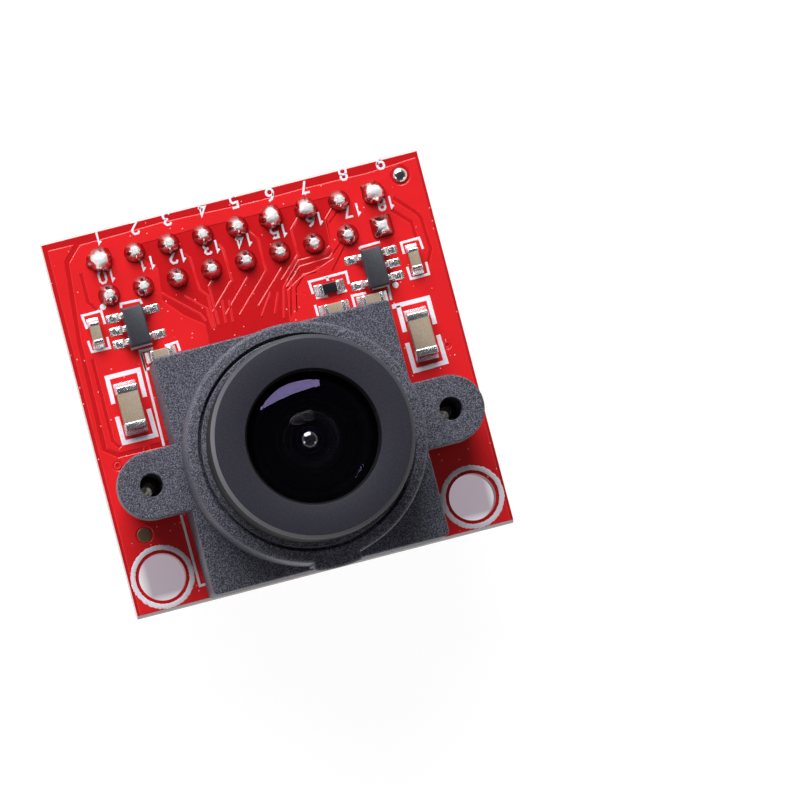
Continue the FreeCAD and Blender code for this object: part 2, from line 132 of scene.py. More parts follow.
class Nodes:
    """A node tree with a short way to add nodes to it."""

    def __init__(self, tree, coordinate="Object"):
        self.tree = tree
        self.coordinate = self.node("ShaderNodeTexCoord").outputs[coordinate]

    def node(self, kind, inputs=None, **settings):
        made = self.tree.nodes.new(kind)
        for name, value in settings.items():
            setattr(made, name, value)
        for key, value in (inputs or {}).items():
            self.feed(made.inputs[key], value)
        return made

    def feed(self, socket, value):
        if isinstance(value, bpy.types.NodeSocket):
            self.tree.links.new(value, socket)
        else:
            socket.default_value = value

    def ramp(self, value, *stops):
        """Colours or greys along a value, each stop given as (place, colour)."""
        made = self.node("ShaderNodeValToRGB", {"Fac": value})
        band = made.color_ramp
        while len(band.elements) < len(stops):
            band.elements.new(0.5)
        for element, (place, colour) in zip(band.elements, stops):
            element.position = place
            element.color = colour if hasattr(colour, "__len__") else (colour, colour, colour, 1)
        return made.outputs["Color"]

    def math(self, operation, first, second=0.0):
        return self.node("ShaderNodeMath", {0: first, 1: second}, operation=operation).outputs[0]

    def mix(self, share, first, second):
        """A mix of two colours. Sockets 6 and 7 of the node are the ones for colours."""
        made = self.node("ShaderNodeMix", data_type="RGBA")
        self.feed(made.inputs["Factor"], share)
        self.feed(made.inputs[6], first)
        self.feed(made.inputs[7], second)
        return made.outputs[2]

    def between(self, value, low, high):
        """1 where a value lies between two limits, else 0."""
        above = self.math("GREATER_THAN", value, low)
        below = self.math("LESS_THAN", value, high)
        return self.math("MULTIPLY", above, below)

    def axes(self):
        """The plan coordinates and the height of a point, in metres."""
        return self.node("ShaderNodeSeparateXYZ", {0: self.coordinate}).outputs[:3]

    def near(self, centre_x, centre_y, radius):
        """1 within a radius in plan of a point given in millimetres, else 0."""
        x, y, _ = self.axes()
        across = self.math("SUBTRACT", x, centre_x * MM)
        along = self.math("SUBTRACT", y, centre_y * MM)
        squares = self.math("ADD", self.math("MULTIPLY", across, across), self.math("MULTIPLY", along, along))
        return self.math("LESS_THAN", self.math("SQRT", squares), radius * MM)


class Finish(Nodes):
    """A material, with the sockets of its shader named as the shader does, with underscores."""

    def __init__(self, name, **sockets):
        self.material = bpy.data.materials.new(name)
        self.material.use_nodes = True
        super().__init__(self.material.node_tree)
        self.set(**sockets)

    def set(self, **sockets):
        shader = self.tree.nodes["Principled BSDF"]
        for name, value in sockets.items():
            self.feed(shader.inputs[name.replace("_", " ")], value)

    def noise(self, grain, detail, roughness=0.5):
        """Noise whose features are about grain millimetres across."""
        made = self.node("ShaderNodeTexNoise", {"Vector": self.coordinate, "Scale": 1 / (grain * MM),
                                                "Detail": detail, "Roughness": roughness})
        return made.outputs["Fac"]

    def bump(self, height, depth):
        """Bumps depth millimetres high."""
        normal = self.node("ShaderNodeBump", {"Height": height, "Distance": depth * MM, "Strength": 1.0})
        self.set(Normal=normal.outputs[0])

    def speckle(self, base, grain, share, colour):
        """Adds specks to a colour. Share is how many of the cells hold one."""
        cells = self.node("ShaderNodeTexVoronoi", {"Vector": self.coordinate, "Scale": 1 / (grain * MM)})
        chance = self.node("ShaderNodeSeparateColor", {0: cells.outputs["Color"]}).outputs[0]
        lucky = self.math("GREATER_THAN", chance, 1 - share)
        near = self.math("LESS_THAN", cells.outputs["Distance"], SPECK_RADIUS)
        return self.mix(self.math("MULTIPLY", lucky, near), base, colour)


# Mesh helpers
def add_mesh(name, points, faces, body, finish, smooth):
    """A new piece from points in millimetres. Edges sharper than smooth degrees stay sharp."""
    mesh = bpy.data.meshes.new(name)
    mesh.from_pydata([Vector(point) * MM for point in points], [], faces)
    mesh.validate()
    work = bmesh.new()
    work.from_mesh(mesh)
    bmesh.ops.recalc_face_normals(work, faces=work.faces)
    work.to_mesh(mesh)
    work.free()
    mesh.shade_smooth()
    mesh.set_sharp_from_angle(angle=math.radians(smooth))
    made = bpy.data.objects.new(name, mesh)
    bpy.context.scene.collection.objects.link(made)
    mesh.materials.append(finish.material)
    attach(made, body)
    return made


def sideways(points, closed, sharpest):
    """The way to the left at each point of a line in plan, longer at a corner to keep the width."""
    sides = []
    for index, point in enumerate(points):
        here = Vector(point)
        ways = []
        if index or closed:
            ways.append((here - Vector(points[index - 1])).normalized())
        if index < len(points) - 1 or closed:
            ways.append((Vector(points[(index + 1) % len(points)]) - here).normalized())
        way = sum(ways, Vector((0, 0))).normalized()
        side = Vector((-way.y, way.x))
        sides.append(side / max(sharpest, side.dot(Vector((-ways[0].y, ways[0].x)))))
    return sides


class Shape:
    """Points and faces that grow into one mesh."""

    def __init__(self):
        self.points = []
        self.faces = []

    def add(self, points, faces):
        start = len(self.points)
        self.points += [tuple(point) for point in points]
        self.faces += [tuple(start + index for index in face) for face in faces]

    def loft(self, loops, capped=True, closed=True):
        """Skins loops that have the same number of points, with a face at each end if capped."""
        count = len(loops[0])
        points = [point for loop in loops for point in loop]
        faces = []
        for level in range(len(loops) - 1):
            low = level * count
            for here in range(count if closed else count - 1):
                after = (here + 1) % count
                faces.append((low + here, low + after, low + count + after, low + count + here))
        if capped:
            faces.append(tuple(range(count))[::-1])
            last = (len(loops) - 1) * count
            faces.append(tuple(last + index for index in range(count)))
        self.add(points, faces)

    def walls(self, *loops):
        self.loft(loops, capped=False)

    def plate(self, outer, holes=()):
        """A flat face inside a loop, with holes in it."""
        rims = [outer, *holes]
        triangles = tessellate_polygon([[Vector(point) for point in rim] for rim in rims])
        self.add([point for rim in rims for point in rim], triangles)

    def ridge(self, points, width, height, slope, base=BOARD_TOP, closed=False):
        """A raised strip along plan points, with sloping sides, as a track under solder mask has."""
        left = [(width / 2 - slope * inset, base + height * rise)
                for inset, rise in ((0.0, 0.0), (0.725, 0.62), (1.0, 1.0))]
        section = [(-reach, level) for reach, level in left] + left[::-1]
        rows = [[(*(Vector(point) + side * reach), level) for reach, level in section]
                for point, side in zip(points, sideways(points, closed, 0.5))]
        if closed:
            rows.append(rows[0])
        self.loft(rows, capped=not closed, closed=False)

    def make(self, name, body, finish, smooth):
        return add_mesh(name, self.points, self.faces, body, finish, smooth)


def stand_in(piece, node):
    """Hides the CAD node whose place a piece takes."""
    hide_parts(node)


def round_point(centre, radius, angle, level):
    return centre[0] + radius * math.cos(angle), centre[1] + radius * math.sin(angle), level


def circle(centre, radius, level, sides):
    return [round_point(centre, radius, 2 * math.pi * step / sides, level) for step in range(sides)]


def rounded_rectangle(centre, size, radius, level, steps=3):
    """The outline of an upright box, with round corners of so many steps."""
    radius = min(radius, size[0] / 2 - 1e-4, size[1] / 2 - 1e-4)
    points = []
    for quarter in range(4):
        side_x = 1 if quarter in (0, 3) else -1
        side_y = 1 if quarter in (0, 1) else -1
        for step in range(steps + 1):
            angle = math.pi / 2 * (quarter + step / steps)
            x = side_x * (size[0] / 2 - radius) + radius * math.cos(angle)
            y = side_y * (size[1] / 2 - radius) + radius * math.sin(angle)
            points.append((centre[0] + x, centre[1] + y, level))
    return points


def turned_shape(profile, sides, closed):
    """Turns (radius, level) points about the lens axis. A closed profile makes a ring."""
    shape = Shape()
    loops = [circle(AXIS, max(radius, 1e-4), level, sides) for radius, level in profile]
    if closed:
        loops.append(loops[0])
    shape.walls(*loops)
    return shape


def arc(centre_radius, centre_level, radius, start, end, steps):
    """Points of a rounded corner in a profile, between two angles in degrees."""
    angles = [math.radians(start + (end - start) * step / steps) for step in range(steps + 1)]
    return [(centre_radius + radius * math.cos(angle), centre_level + radius * math.sin(angle))
            for angle in angles]


# Studio
FLOOR_LEVEL = lowest("header_pin_01")[2]
FLOOR_SIDE = 3000.0
FLOOR_PAPER = (0.85, 0.85, 0.85, 1)
FLOOR_GLOW_SHARE = 0.85
FLOOR_GLOW = 1.12
# Colour of the painted shadow on the floor under the board, and where it fades to white
PAINTED_SHADOW_UNDER_BOARD = (0.33, 0.28, 0.33, 1)
SHADE_STARTS, SHADE_ENDS = 0.91, 1.0
LENS_IN_PHOTO = (310, 437)
WHITE = (1, 1, 1, 1)
DIFFUSE_SKY = [(0.0, 0.8), (0.12, 0.42), (0.3, 0.24), (0.62, 0.17), (0.74, 0.06), (1.0, 0.05)]
MIRRORED_SKY = [(0.0, 1.0), (0.2, 1.0), (0.4, 0.9), (0.6, 0.5), (0.72, 0.06), (1.0, 0.05)]
LAMP_DISTANCE = 500.0


def background_share(nodes):
    """1 for the rays that see the plain white background, else 0."""
    rays = nodes.node("ShaderNodeLightPath").outputs
    share = nodes.math("MAXIMUM", rays["Is Camera Ray"], rays["Is Glossy Ray"])
    return nodes.math("MAXIMUM", share, rays["Is Transmission Ray"])


def shade_under_board(nodes):
    """The floor's colour with a painted shadow: a soft lavender shade under the board, white beyond it."""
    seen_shift = Vector(spot(*LENS_IN_PHOTO, FLOOR_LEVEL)) - Vector(spot(*LENS_IN_PHOTO))
    reaches = []
    for place, centre, shift in zip(nodes.axes(), middle("circuit_board"), seen_shift):
        reaches.append(nodes.math("ABSOLUTE", nodes.math("SUBTRACT", place, (centre + shift) * MM)))
    share = nodes.math("MULTIPLY", nodes.math("MAXIMUM", *reaches), 1 / (BOARD_HIGH[0] * MM))
    return nodes.ramp(share, (SHADE_STARTS, PAINTED_SHADOW_UNDER_BOARD), (SHADE_ENDS, WHITE))


def make_floor():
    half = FLOOR_SIDE / 2
    mesh = bpy.data.meshes.new("floor")
    corners = [(-half, -half), (half, -half), (half, half), (-half, half)]
    mesh.from_pydata([Vector((x, y, FLOOR_LEVEL)) * MM for x, y in corners], [], [(0, 1, 2, 3)])
    floor = bpy.data.objects.new("floor", mesh)
    bpy.context.scene.collection.objects.link(floor)
    material = bpy.data.materials.new("white_table")
    material.use_nodes = True
    material.node_tree.nodes.clear()
    nodes = Nodes(material.node_tree)
    paper = nodes.node("ShaderNodeBsdfDiffuse", {"Color": FLOOR_PAPER})
    # The glow carries the painted shadow under the board
    glow = nodes.node("ShaderNodeEmission", {"Color": shade_under_board(nodes), "Strength": FLOOR_GLOW})
    share = nodes.math("MULTIPLY", background_share(nodes), FLOOR_GLOW_SHARE)
    surface = nodes.node("ShaderNodeMixShader", {0: share, 1: paper.outputs[0], 2: glow.outputs[0]})
    nodes.node("ShaderNodeOutputMaterial", {0: surface.outputs[0]})
    mesh.materials.append(material)


def make_world():
    """A dim ceiling, a paler wall below it and a white horizon. The camera sees plain white."""
    world = bpy.data.worlds.new("studio")
    bpy.context.scene.world = world
    world.use_nodes = True
    nodes = Nodes(world.node_tree, "Generated")
    height = nodes.axes()[2]
    mirrored = nodes.ramp(height, *MIRRORED_SKY)
    rays = nodes.node("ShaderNodeLightPath").outputs
    sky = nodes.mix(rays["Is Glossy Ray"], nodes.ramp(height, *DIFFUSE_SKY), mirrored)
    sky = nodes.mix(rays["Is Transmission Ray"], sky, mirrored)
    sky = nodes.mix(rays["Is Camera Ray"], sky, WHITE)
    nodes.feed(nodes.tree.nodes["Background"].inputs["Color"], sky)


def make_lamp(name, azimuth, polar, width, height, radiance):
    """A softbox seen from the lens at an azimuth from +Y towards +X and an angle off the lens axis."""
    round_axis = math.radians(azimuth)
    off_axis = math.radians(polar)
    across = math.sin(off_axis)
    way = Vector((math.sin(round_axis) * across, math.cos(round_axis) * across, math.cos(off_axis)))
    data = bpy.data.lights.new(name, "AREA")
    data.shape = "RECTANGLE"
    data.size = width * MM
    data.size_y = height * MM
    data.energy = radiance * math.pi * width * MM * height * MM
    lamp = bpy.data.objects.new(name, data)
    bpy.context.scene.collection.objects.link(lamp)
    lamp.location = (Vector((*AXIS, BOARD_TOP)) + way * LAMP_DISTANCE) * MM
    lamp.rotation_euler = way.to_track_quat("Z", "Y").to_euler()
    lamp.visible_camera = False


make_camera()
make_floor()
make_world()
make_lamp("key_lamp", azimuth=-8, polar=54, width=441, height=374, radiance=8.6)
make_lamp("left_lamp", azimuth=-102, polar=47, width=110, height=130, radiance=3.4)
make_lamp("right_lamp", azimuth=132, polar=47, width=100, height=120, radiance=2.2)
bpy.context.scene.view_settings.view_transform = "Standard"


# Colours
MASK_BARE = tone(204, 23, 29)
MASK_ON_COPPER = tone(234, 36, 41)
MASK_DUST = tone(250, 170, 172)
BOARD_EDGE = tone(200, 192, 190)
BOARD_EDGE_STAIN = tone(176, 160, 156)
HOLE_COPPER = tone(190, 104, 70)
HOLDER_BLACK = (0.016, 0.016, 0.026, 1)
HOLDER_GREY = (0.18, 0.18, 0.24, 1)
HOLDER_GRAIN = (0.45, 0.45, 0.52, 1)
BARREL_BLACK = (0.021, 0.0202, 0.031, 1)
BARREL_GREY = (0.036, 0.035, 0.046, 1)
# Painted highlight on one side of the lens head's chamfer
EDGE_HIGHLIGHT_GREY = (0.13, 0.127, 0.145, 1)
# Painted reflection of the red board, low on the solder joints
JOINT_FOOT_PAINTED_REFLECTION = (0.3, 0.08, 0.08, 1)
JOINT_WAIST_PAINTED_REFLECTION = (0.5, 0.26, 0.26, 1)
JOINT_TOP = (0.86, 0.84, 0.84, 1)
TIP_GLOW = (0.8, 0.76, 0.68, 1)
GLASS_DIM = (0.96, 0.96, 0.97, 1)
GLASS_CLEAR = (0.99, 0.99, 1, 1)

# Side of the lens head's chamfer that gets a painted highlight
EDGE_LIGHT_SIDE = (-0.866, -0.5)
EDGE_REACH = 7.2

# Painted glint on the tip of a screw
TIP_SHIFT = (-0.2, -0.22)
TIP_RADIUS = 0.4


# Finishes
def mask_finish(name, red, edges=False):
    """Red solder mask: glossy, a little uneven, with dust. The board also has its bare edges."""
    finish = Finish(name, Roughness=0.2, IOR=1.5)
    colour = finish.mix(finish.noise(1.7, 3), darker(red, 0.86), red)
    colour = finish.speckle(colour, 0.42, 0.3, MASK_DUST)
    if edges:
        skin = 0.02
        side = finish.between(finish.axes()[2], (BOARD_LOW[2] + skin) * MM, (BOARD_TOP - skin) * MM)
        pale = finish.mix(finish.noise(0.25, 4), BOARD_EDGE, BOARD_EDGE_STAIN)
        colour = finish.mix(side, colour, pale)
        for place in MOUNTING_PLACES:
            near = finish.near(*place, MOUNTING_RADIUS + skin)
            colour = finish.mix(finish.math("MULTIPLY", near, side), colour, HOLE_COPPER)
    finish.set(Base_Color=colour)
    finish.bump(finish.noise(0.55, 2), 0.004)
    return finish


def grain_finish(name, colour, light, grain, depth, roughness, share=0.5, **sockets):
    """Moulded or sprayed plastic with a fine grain."""
    finish = Finish(name, Roughness=roughness, IOR=1.46)
    fine = finish.noise(grain, 3, 0.7)
    level = finish.ramp(fine, (share - 0.08, 0.0), (share + 0.22, 1.0))
    finish.set(Base_Color=finish.mix(level, colour, light))
    finish.bump(fine, depth)
    finish.set(**sockets)
    return finish


def metal_finish(name, colour, roughness, grain, depth, **sockets):
    finish = Finish(name, Metallic=1.0, Roughness=roughness)
    fine = finish.noise(grain, 3, 0.6)
    finish.set(Base_Color=finish.mix(fine, darker(colour, 0.72), colour))
    finish.bump(fine, depth)
    finish.set(**sockets)
    return finish


def glass_finish(name, tint, ior):
    finish = Finish(name, Roughness=0.0, IOR=ior, Transmission_Weight=1.0, Specular_Tint=tint)
    finish.set(Base_Color=finish.ramp(finish.noise(3.0, 2), (0.3, GLASS_DIM), (0.7, GLASS_CLEAR)))
    return finish


def moulded_finish():
    """Black plastic with a sandy surface: dark pits, grey grains and a few bright ones."""
    finish = Finish("moulded_plastic", Roughness=0.52, IOR=1.46)
    fine = finish.noise(0.085, 2, 0.75)
    colour = finish.mix(finish.ramp(fine, (0.46, 0.0), (0.62, 1.0)), HOLDER_BLACK, HOLDER_GREY)
    finish.set(Base_Color=finish.speckle(colour, 0.16, 0.07, HOLDER_GRAIN))
    finish.bump(fine, 0.035)
    return finish


def worn_edge():
    """The chamfer round the lens head, with a painted highlight: lighter towards one side."""
    finish = Finish("worn_edge", Roughness=0.42, IOR=1.46)
    lit = 0.0
    for place, centre, way in zip(finish.axes(), AXIS, EDGE_LIGHT_SIDE):
        offset = finish.math("SUBTRACT", place, centre * MM)
        lit = finish.math("ADD", lit, finish.math("MULTIPLY", offset, way / (EDGE_REACH * MM)))
    side = finish.ramp(lit, (0.0, 0.0), (0.75, 1.0))
    finish.set(Base_Color=finish.mix(side, BARREL_BLACK, EDGE_HIGHLIGHT_GREY))
    finish.bump(finish.noise(0.3, 3, 0.7), 0.003)
    return finish


def joint_solder():
    """Glossy solder, reddish at its foot and waist with a painted reflection of the red board, and paler and
    rough at its top.
    """
    finish = Finish("header_joint")
    rise = finish.math("SUBTRACT", finish.axes()[2], BOARD_TOP * MM)
    rise = finish.math("MULTIPLY", rise, 1 / MM)
    finish.set(Base_Color=finish.ramp(rise, (0.12, JOINT_FOOT_PAINTED_REFLECTION), (0.6, JOINT_WAIST_PAINTED_REFLECTION), (0.88, JOINT_TOP)),
               Roughness=finish.ramp(rise, (0.85, 0.13), (1.0, 0.5)),
               Metallic=finish.ramp(rise, (0.85, 1.0), (1.0, 0.5)))
    finish.bump(finish.noise(0.5, 3, 0.6), 0.01)
    return finish


def screw_tip():
    """Screw metal with a painted glint: a weak glow at the tips, where the light of the studio doesn't reach.
    """
    finish = metal_finish("screw_tip", (0.95, 0.92, 0.84, 1),
                          roughness=0.6, grain=0.35, depth=0.05, Metallic=0.3)
    glint = 0.0
    for x, y in EAR_PLACES:
        glint = finish.math("ADD", glint, finish.near(x + TIP_SHIFT[0], y + TIP_SHIFT[1], TIP_RADIUS))
    ridges = finish.ramp(finish.noise(0.22, 2), (0.42, 0.02), (0.6, 0.2))
    finish.set(Emission_Color=TIP_GLOW, Emission_Strength=finish.math("MULTIPLY", glint, ridges))
    return finish


board_red = mask_finish("red_mask", MASK_BARE, edges=True)
pour_red = mask_finish("red_mask_on_copper", MASK_ON_COPPER)
holder_black = moulded_finish()
# The chamfer's finish, with a painted highlight on one side
edge_highlight = worn_edge()
joint_tin = joint_solder()
tip_steel = screw_tip()

white_ink = grain_finish("white_ink", tone(240, 234, 243), tone(214, 196, 212),
                         grain=0.18, depth=0.004, roughness=0.55, share=0.62)
barrel_black = grain_finish("matt_black", BARREL_BLACK, BARREL_GREY,
                            grain=0.09, depth=0.003, roughness=0.46, Specular_IOR_Level=0.3)
inner_black = grain_finish("inner_black", (0.0012, 0.0012, 0.0014, 1), (0.002, 0.002, 0.0022, 1),
                           grain=0.2, depth=0.002, roughness=0.7, Specular_IOR_Level=0.02)
# A darker copy of the matt black: painted shade on the mouth's inner wall and the head's side
lip_painted_shade = grain_finish("lip_painted_shade", (0.005, 0.005, 0.0055, 1), (0.007, 0.007, 0.008, 1),
                         grain=0.1, depth=0.004, roughness=0.6, Specular_IOR_Level=0.12)
case_black = grain_finish("regulator_plastic", tone(52, 52, 60), tone(74, 74, 84),
                          grain=0.07, depth=0.006, roughness=0.5, share=0.55)
ceramic = grain_finish("capacitor_ceramic", tone(158, 141, 121), tone(176, 160, 142),
                       grain=0.12, depth=0.006, roughness=0.5)
resistor_coat = grain_finish("resistor_coat", tone(24, 22, 26), tone(40, 38, 44),
                             grain=0.1, depth=0.004, roughness=0.3)
header_black = grain_finish("header_plastic", (0.012, 0.012, 0.013, 1), (0.025, 0.025, 0.027, 1),
                            grain=0.15, depth=0.01, roughness=0.4)
oscillator_ceramic = grain_finish("oscillator_ceramic", tone(150, 140, 120), tone(170, 160, 140),
                                  grain=0.15, depth=0.006, roughness=0.5)

smooth_tin = metal_finish("solder", (0.80, 0.77, 0.77, 1), roughness=0.15, grain=0.6, depth=0.005)
grainy_tin = metal_finish("grainy_tin", (0.86, 0.86, 0.87, 1), roughness=0.26, grain=0.12, depth=0.03)
pin_tin = metal_finish("tinned_pin", (0.92, 0.91, 0.9, 1),
                       roughness=0.52, grain=0.2, depth=0.03, Metallic=0.55)
lid_metal = metal_finish("oscillator_lid", (0.78, 0.74, 0.62, 1), roughness=0.3, grain=0.3, depth=0.006)
mark_metal = metal_finish("oxidised_mark", tone(150, 128, 100), roughness=0.45, grain=0.2, depth=0.006)

front_glass = glass_finish("coated_glass", (0.33, 0.265, 0.58, 1), 1.54)
hollow_glass = glass_finish("hollow_glass", (0.006, 0.006, 0.01, 1), 1.54)
inner_glass = glass_finish("inner_glass", (0.5, 0.7, 1.0, 1), 1.52)
pupil_glass = grain_finish("pupil_glass", (0.004, 0.002, 0.012, 1), (0.012, 0.004, 0.04, 1),
                           grain=0.5, depth=0.0, roughness=0.06, IOR=2.2)


# CAD nodes that are shown as they are
DRESSED = {
    "aperture_ring": inner_black,
    "rear_spacer": inner_black,
    "retaining_ring": inner_black,
    "rear_lens": inner_glass,
    "field_lens": inner_glass,
    "sensor_cover_glass": inner_glass,
    "light_filter": inner_glass,
    "image_sensor": case_black,
    "circuit_board": board_red,
    "header_body": header_black,
    "holder_screws": tip_steel,
    "oscillator_base": oscillator_ceramic,
    "oscillator_lid": lid_metal,
}
PIN_NAMES = [f"header_pin_{number:02d}" for number in range(1, 19)]

for node_name, node_finish in {**DRESSED, **dict.fromkeys(PIN_NAMES, pin_tin)}.items():
    cad[node_name].data.materials.clear()
    cad[node_name].data.materials.append(node_finish.material)


# Lens
THREAD_PITCH = 0.5
THREAD_DEPTH = 0.27
THREAD_RADIUS = 6.0
BARREL_SIDES = 180
HEAD_TOP = highest("lens_barrel")[2]
HEAD_RADIUS = (highest("lens_barrel")[0] - lowest("lens_barrel")[0]) / 2
BARREL_BACK = lowest("lens_barrel")[2]
COLLAR_TOP = highest("lens_holder")[2]
HEAD_TO_COLLAR = 0.8
RELIEF_RADIUS, RELIEF_LENGTH = 5.65, 0.6
BACK_RADIUS, BACK_MOUTH = 5.85, 5.2
MOUTH_STEPS = [(4.65, 1.0), (4.65, 0.34), (4.67, 0.28), (4.77, 0.05)]
MOUTH_LIP = 4.83
LIP_ROUND, TOP_ROUND, SIDE_ROUND = 0.05, 0.06, 0.07
CHAMFER_ACROSS, CHAMFER_DOWN = 0.31, 0.33
THREAD_START, THREAD_END = 0.9, 0.2

DOME_STEPS = 24
GLASS_SEAT = HEAD_TOP - 1.0
GLASS_RADIUS = 5.18
GLASS_BEVEL = 0.08
FACE_CURVE, FACE_APERTURE = 12.0, 9.28
HOLLOW_CURVE, HOLLOW_APERTURE = 4.4, 7.2
HOLLOW_RIM, FACE_RIM = 3.65, 4.66

# Steps of the baffle behind the front glass, as radius and depth
BAFFLE = [(3.7, 0.0), (3.5, 0.12), (2.75, 0.3), (2.66, 0.3), (2.6, 0.45), (1.75, 0.6), (1.6, 0.6),
          (1.55, 0.75), (3.7, 0.9)]
PUPIL_CURVE, PUPIL_APERTURE, PUPIL_RIM = 1.5, 2.1, 1.06
PUPIL_DEPTH, PUPIL_SEAT_DEPTH = 0.72, 0.97


def barrel_loop(radius, level, thread_depth=0.0):
    """A ring of the barrel, round which the thread's crests and roots wind."""
    points = []
    for step in range(BARREL_SIDES):
        share = step / BARREL_SIDES
        phase = (level / THREAD_PITCH + share) % 1
        reach = radius - thread_depth * abs(2 * phase - 1)
        points.append(round_point(AXIS, reach, 2 * math.pi * share, level))
    return points


def barrel_loops():
    """Rings round the section of the barrel, from its mouth over the head and down the thread."""
    shoulder = COLLAR_TOP + HEAD_TO_COLLAR
    head = [(radius, HEAD_TOP - depth) for radius, depth in MOUTH_STEPS]
    head += arc(MOUTH_LIP, HEAD_TOP - LIP_ROUND, LIP_ROUND, 180, 90, 3)
    head += arc(HEAD_RADIUS - CHAMFER_ACROSS, HEAD_TOP - TOP_ROUND, TOP_ROUND, 90, 45, 2)
    head += arc(HEAD_RADIUS - SIDE_ROUND, HEAD_TOP - CHAMFER_DOWN, SIDE_ROUND, 45, 0, 3)
    head += [(HEAD_RADIUS, shoulder + 0.1), (HEAD_RADIUS - 0.1, shoulder)]
    head += [(RELIEF_RADIUS, shoulder), (RELIEF_RADIUS, shoulder - RELIEF_LENGTH)]
    loops = [barrel_loop(radius, level) for radius, level in head]
    level = shoulder - THREAD_START
    while level > BARREL_BACK + THREAD_END:
        loops.append(barrel_loop(THREAD_RADIUS, level, THREAD_DEPTH))
        level -= THREAD_PITCH / 6
    back = [(BACK_RADIUS, BARREL_BACK), (BACK_MOUTH, BARREL_BACK), (BACK_MOUTH, GLASS_SEAT)]
    return loops + [barrel_loop(radius, level) for radius, level in back]


def paint_faces(piece, finish, wanted):
    """Gives a second finish to the faces whose distance from the lens axis and level are wanted."""
    slot = len(piece.data.materials)
    piece.data.materials.append(finish.material)
    for face in piece.data.polygons:
        centre = face.center / MM
        if wanted(math.hypot(centre.x - AXIS[0], centre.y - AXIS[1]), centre.z):
            face.material_index = slot


def make_barrel():
    def in_mouth_or_on_side(radius, level):
        return radius < MOUTH_LIP - 0.03 or (radius > HEAD_RADIUS - 0.05 and level < HEAD_TOP - 0.4)

    def on_chamfer(radius, level):
        inside = radius > HEAD_RADIUS - CHAMFER_ACROSS - 0.01
        return inside and HEAD_TOP - CHAMFER_DOWN - 0.01 < level < HEAD_TOP - 0.02

    shape = Shape()
    loops = barrel_loops()
    shape.walls(*loops, loops[0])
    barrel = shape.make("barrel_turned", "lens", barrel_black, 30)
    # Painted shade: a darker black on the mouth's inner wall and on the head's side
    paint_faces(barrel, lip_painted_shade, in_mouth_or_on_side)
    # The chamfer gets a painted highlight on one side
    paint_faces(barrel, edge_highlight, on_chamfer)
    stand_in(barrel, "lens_barrel")


def dome(radius, aperture, level):
    """Profile points of a surface that bulges forwards, from the axis to its rim at a level."""
    half = aperture / 2
    rim = radius - math.sqrt(radius ** 2 - half ** 2)
    points = []
    for step in range(DOME_STEPS + 1):
        across = half * step / DOME_STEPS
        points.append((across, level + rim - (radius - math.sqrt(radius ** 2 - across ** 2))))
    return points


def make_front_glass():
    """The front element: a bulging coated face and a deep hollow behind it."""
    low = lowest("front_lens")[2]
    flat = GLASS_RADIUS - GLASS_BEVEL
    profile = dome(FACE_CURVE, FACE_APERTURE, GLASS_SEAT)
    profile += [(flat, GLASS_SEAT), (GLASS_RADIUS, GLASS_SEAT - GLASS_BEVEL)]
    profile += [(GLASS_RADIUS, low + GLASS_BEVEL), (flat, low)]
    profile += dome(HOLLOW_CURVE, HOLLOW_APERTURE, low)[::-1]
    glass = turned_shape(profile, 192, closed=False).make("front_element", "lens", front_glass, 30)
    paint_faces(glass, hollow_glass, lambda radius, level: radius < HOLLOW_RIM and level < GLASS_SEAT - 0.02)
    paint_faces(glass, inner_black, lambda radius, level:
                radius > FACE_RIM or (radius > HOLLOW_RIM and level < GLASS_SEAT - 0.5))
    stand_in(glass, "front_lens")


def make_inner_lens():
    """What shows through the front element: stepped black rings and a small dark bulging pupil."""
    seat = lowest("front_lens")[2]
    profile = [(radius, seat - depth) for radius, depth in BAFFLE]
    baffle = turned_shape(profile, 96, closed=True).make("inner_baffle", "lens", inner_black, 30)
    stand_in(baffle, "front_spacer")
    low = lowest("middle_lens")[2]
    pupil_seat = seat - PUPIL_SEAT_DEPTH
    profile = dome(PUPIL_CURVE, PUPIL_APERTURE, seat - PUPIL_DEPTH)
    profile += [(1.1, pupil_seat), (GLASS_RADIUS, pupil_seat), (GLASS_RADIUS, low), (0, low)]
    pupil = turned_shape(profile, 96, closed=False).make("second_element", "lens", pupil_glass, 30)
    paint_faces(pupil, inner_black, lambda radius, level: radius > PUPIL_RIM)
    stand_in(pupil, "middle_lens")


make_barrel()
make_front_glass()
make_inner_lens()


# Lens holder
BLOCK_TOP = 7.2
BLOCK_HALF = 8.7
BLOCK_CORNER = 0.35
EAR_HALF_WIDTH = 2.425
EAR_UNDER = BLOCK_TOP - 2.0
EAR_HOLE, EAR_MOUTH = 0.825, 0.86
BOSS_RADIUS = 1.9
BORE_RADIUS = 6.05
BORE_SIDES, EAR_SIDES = 96, 32
CHAMBER_HALF, CHAMBER_CORNER, CHAMBER_ROOF = 7.2, 0.8, 4.8
SEAT_HALF, SEAT_TOP = 4.55, 5.35
WINDOW_HALF, WINDOW_TOP = 4.0, 6.0
WINDOW_CORNER = 0.1
COLLAR_RADIUS = 8.55
POST_REACH = 9.15
POST_END, POST_FOOT_END = 9.12, 8.72
POST_HALF_WIDTH = 1.7
POST_SHARPNESS = 14.0

# Round edge of the block's top, as inset and depth
TOP_EDGE = [(0.0, 0.12), (0.018, 0.06), (0.05, 0.02), (0.12, 0.0)]

# Outside of the collar with the post, as inset and depth
COLLAR_EDGE = [(0, 1.1), (0, 0.25), (0.02, 0.14), (0.08, 0.06), (0.16, 0.015), (0.26, 0)]

# Groove in the collar's top and the edge of its bore, as radius and depth
COLLAR_GROOVE = [(7.76, 0), (7.72, 0.04), (7.72, 0.6), (7.5, 0.6), (7.5, 0.06), (7.44, 0), (6.12, 0),
                 (BORE_RADIUS, 0.07)]


def square(half, corner, level, steps=5):
    return rounded_rectangle(AXIS, (2 * half, 2 * half), corner, level, steps)


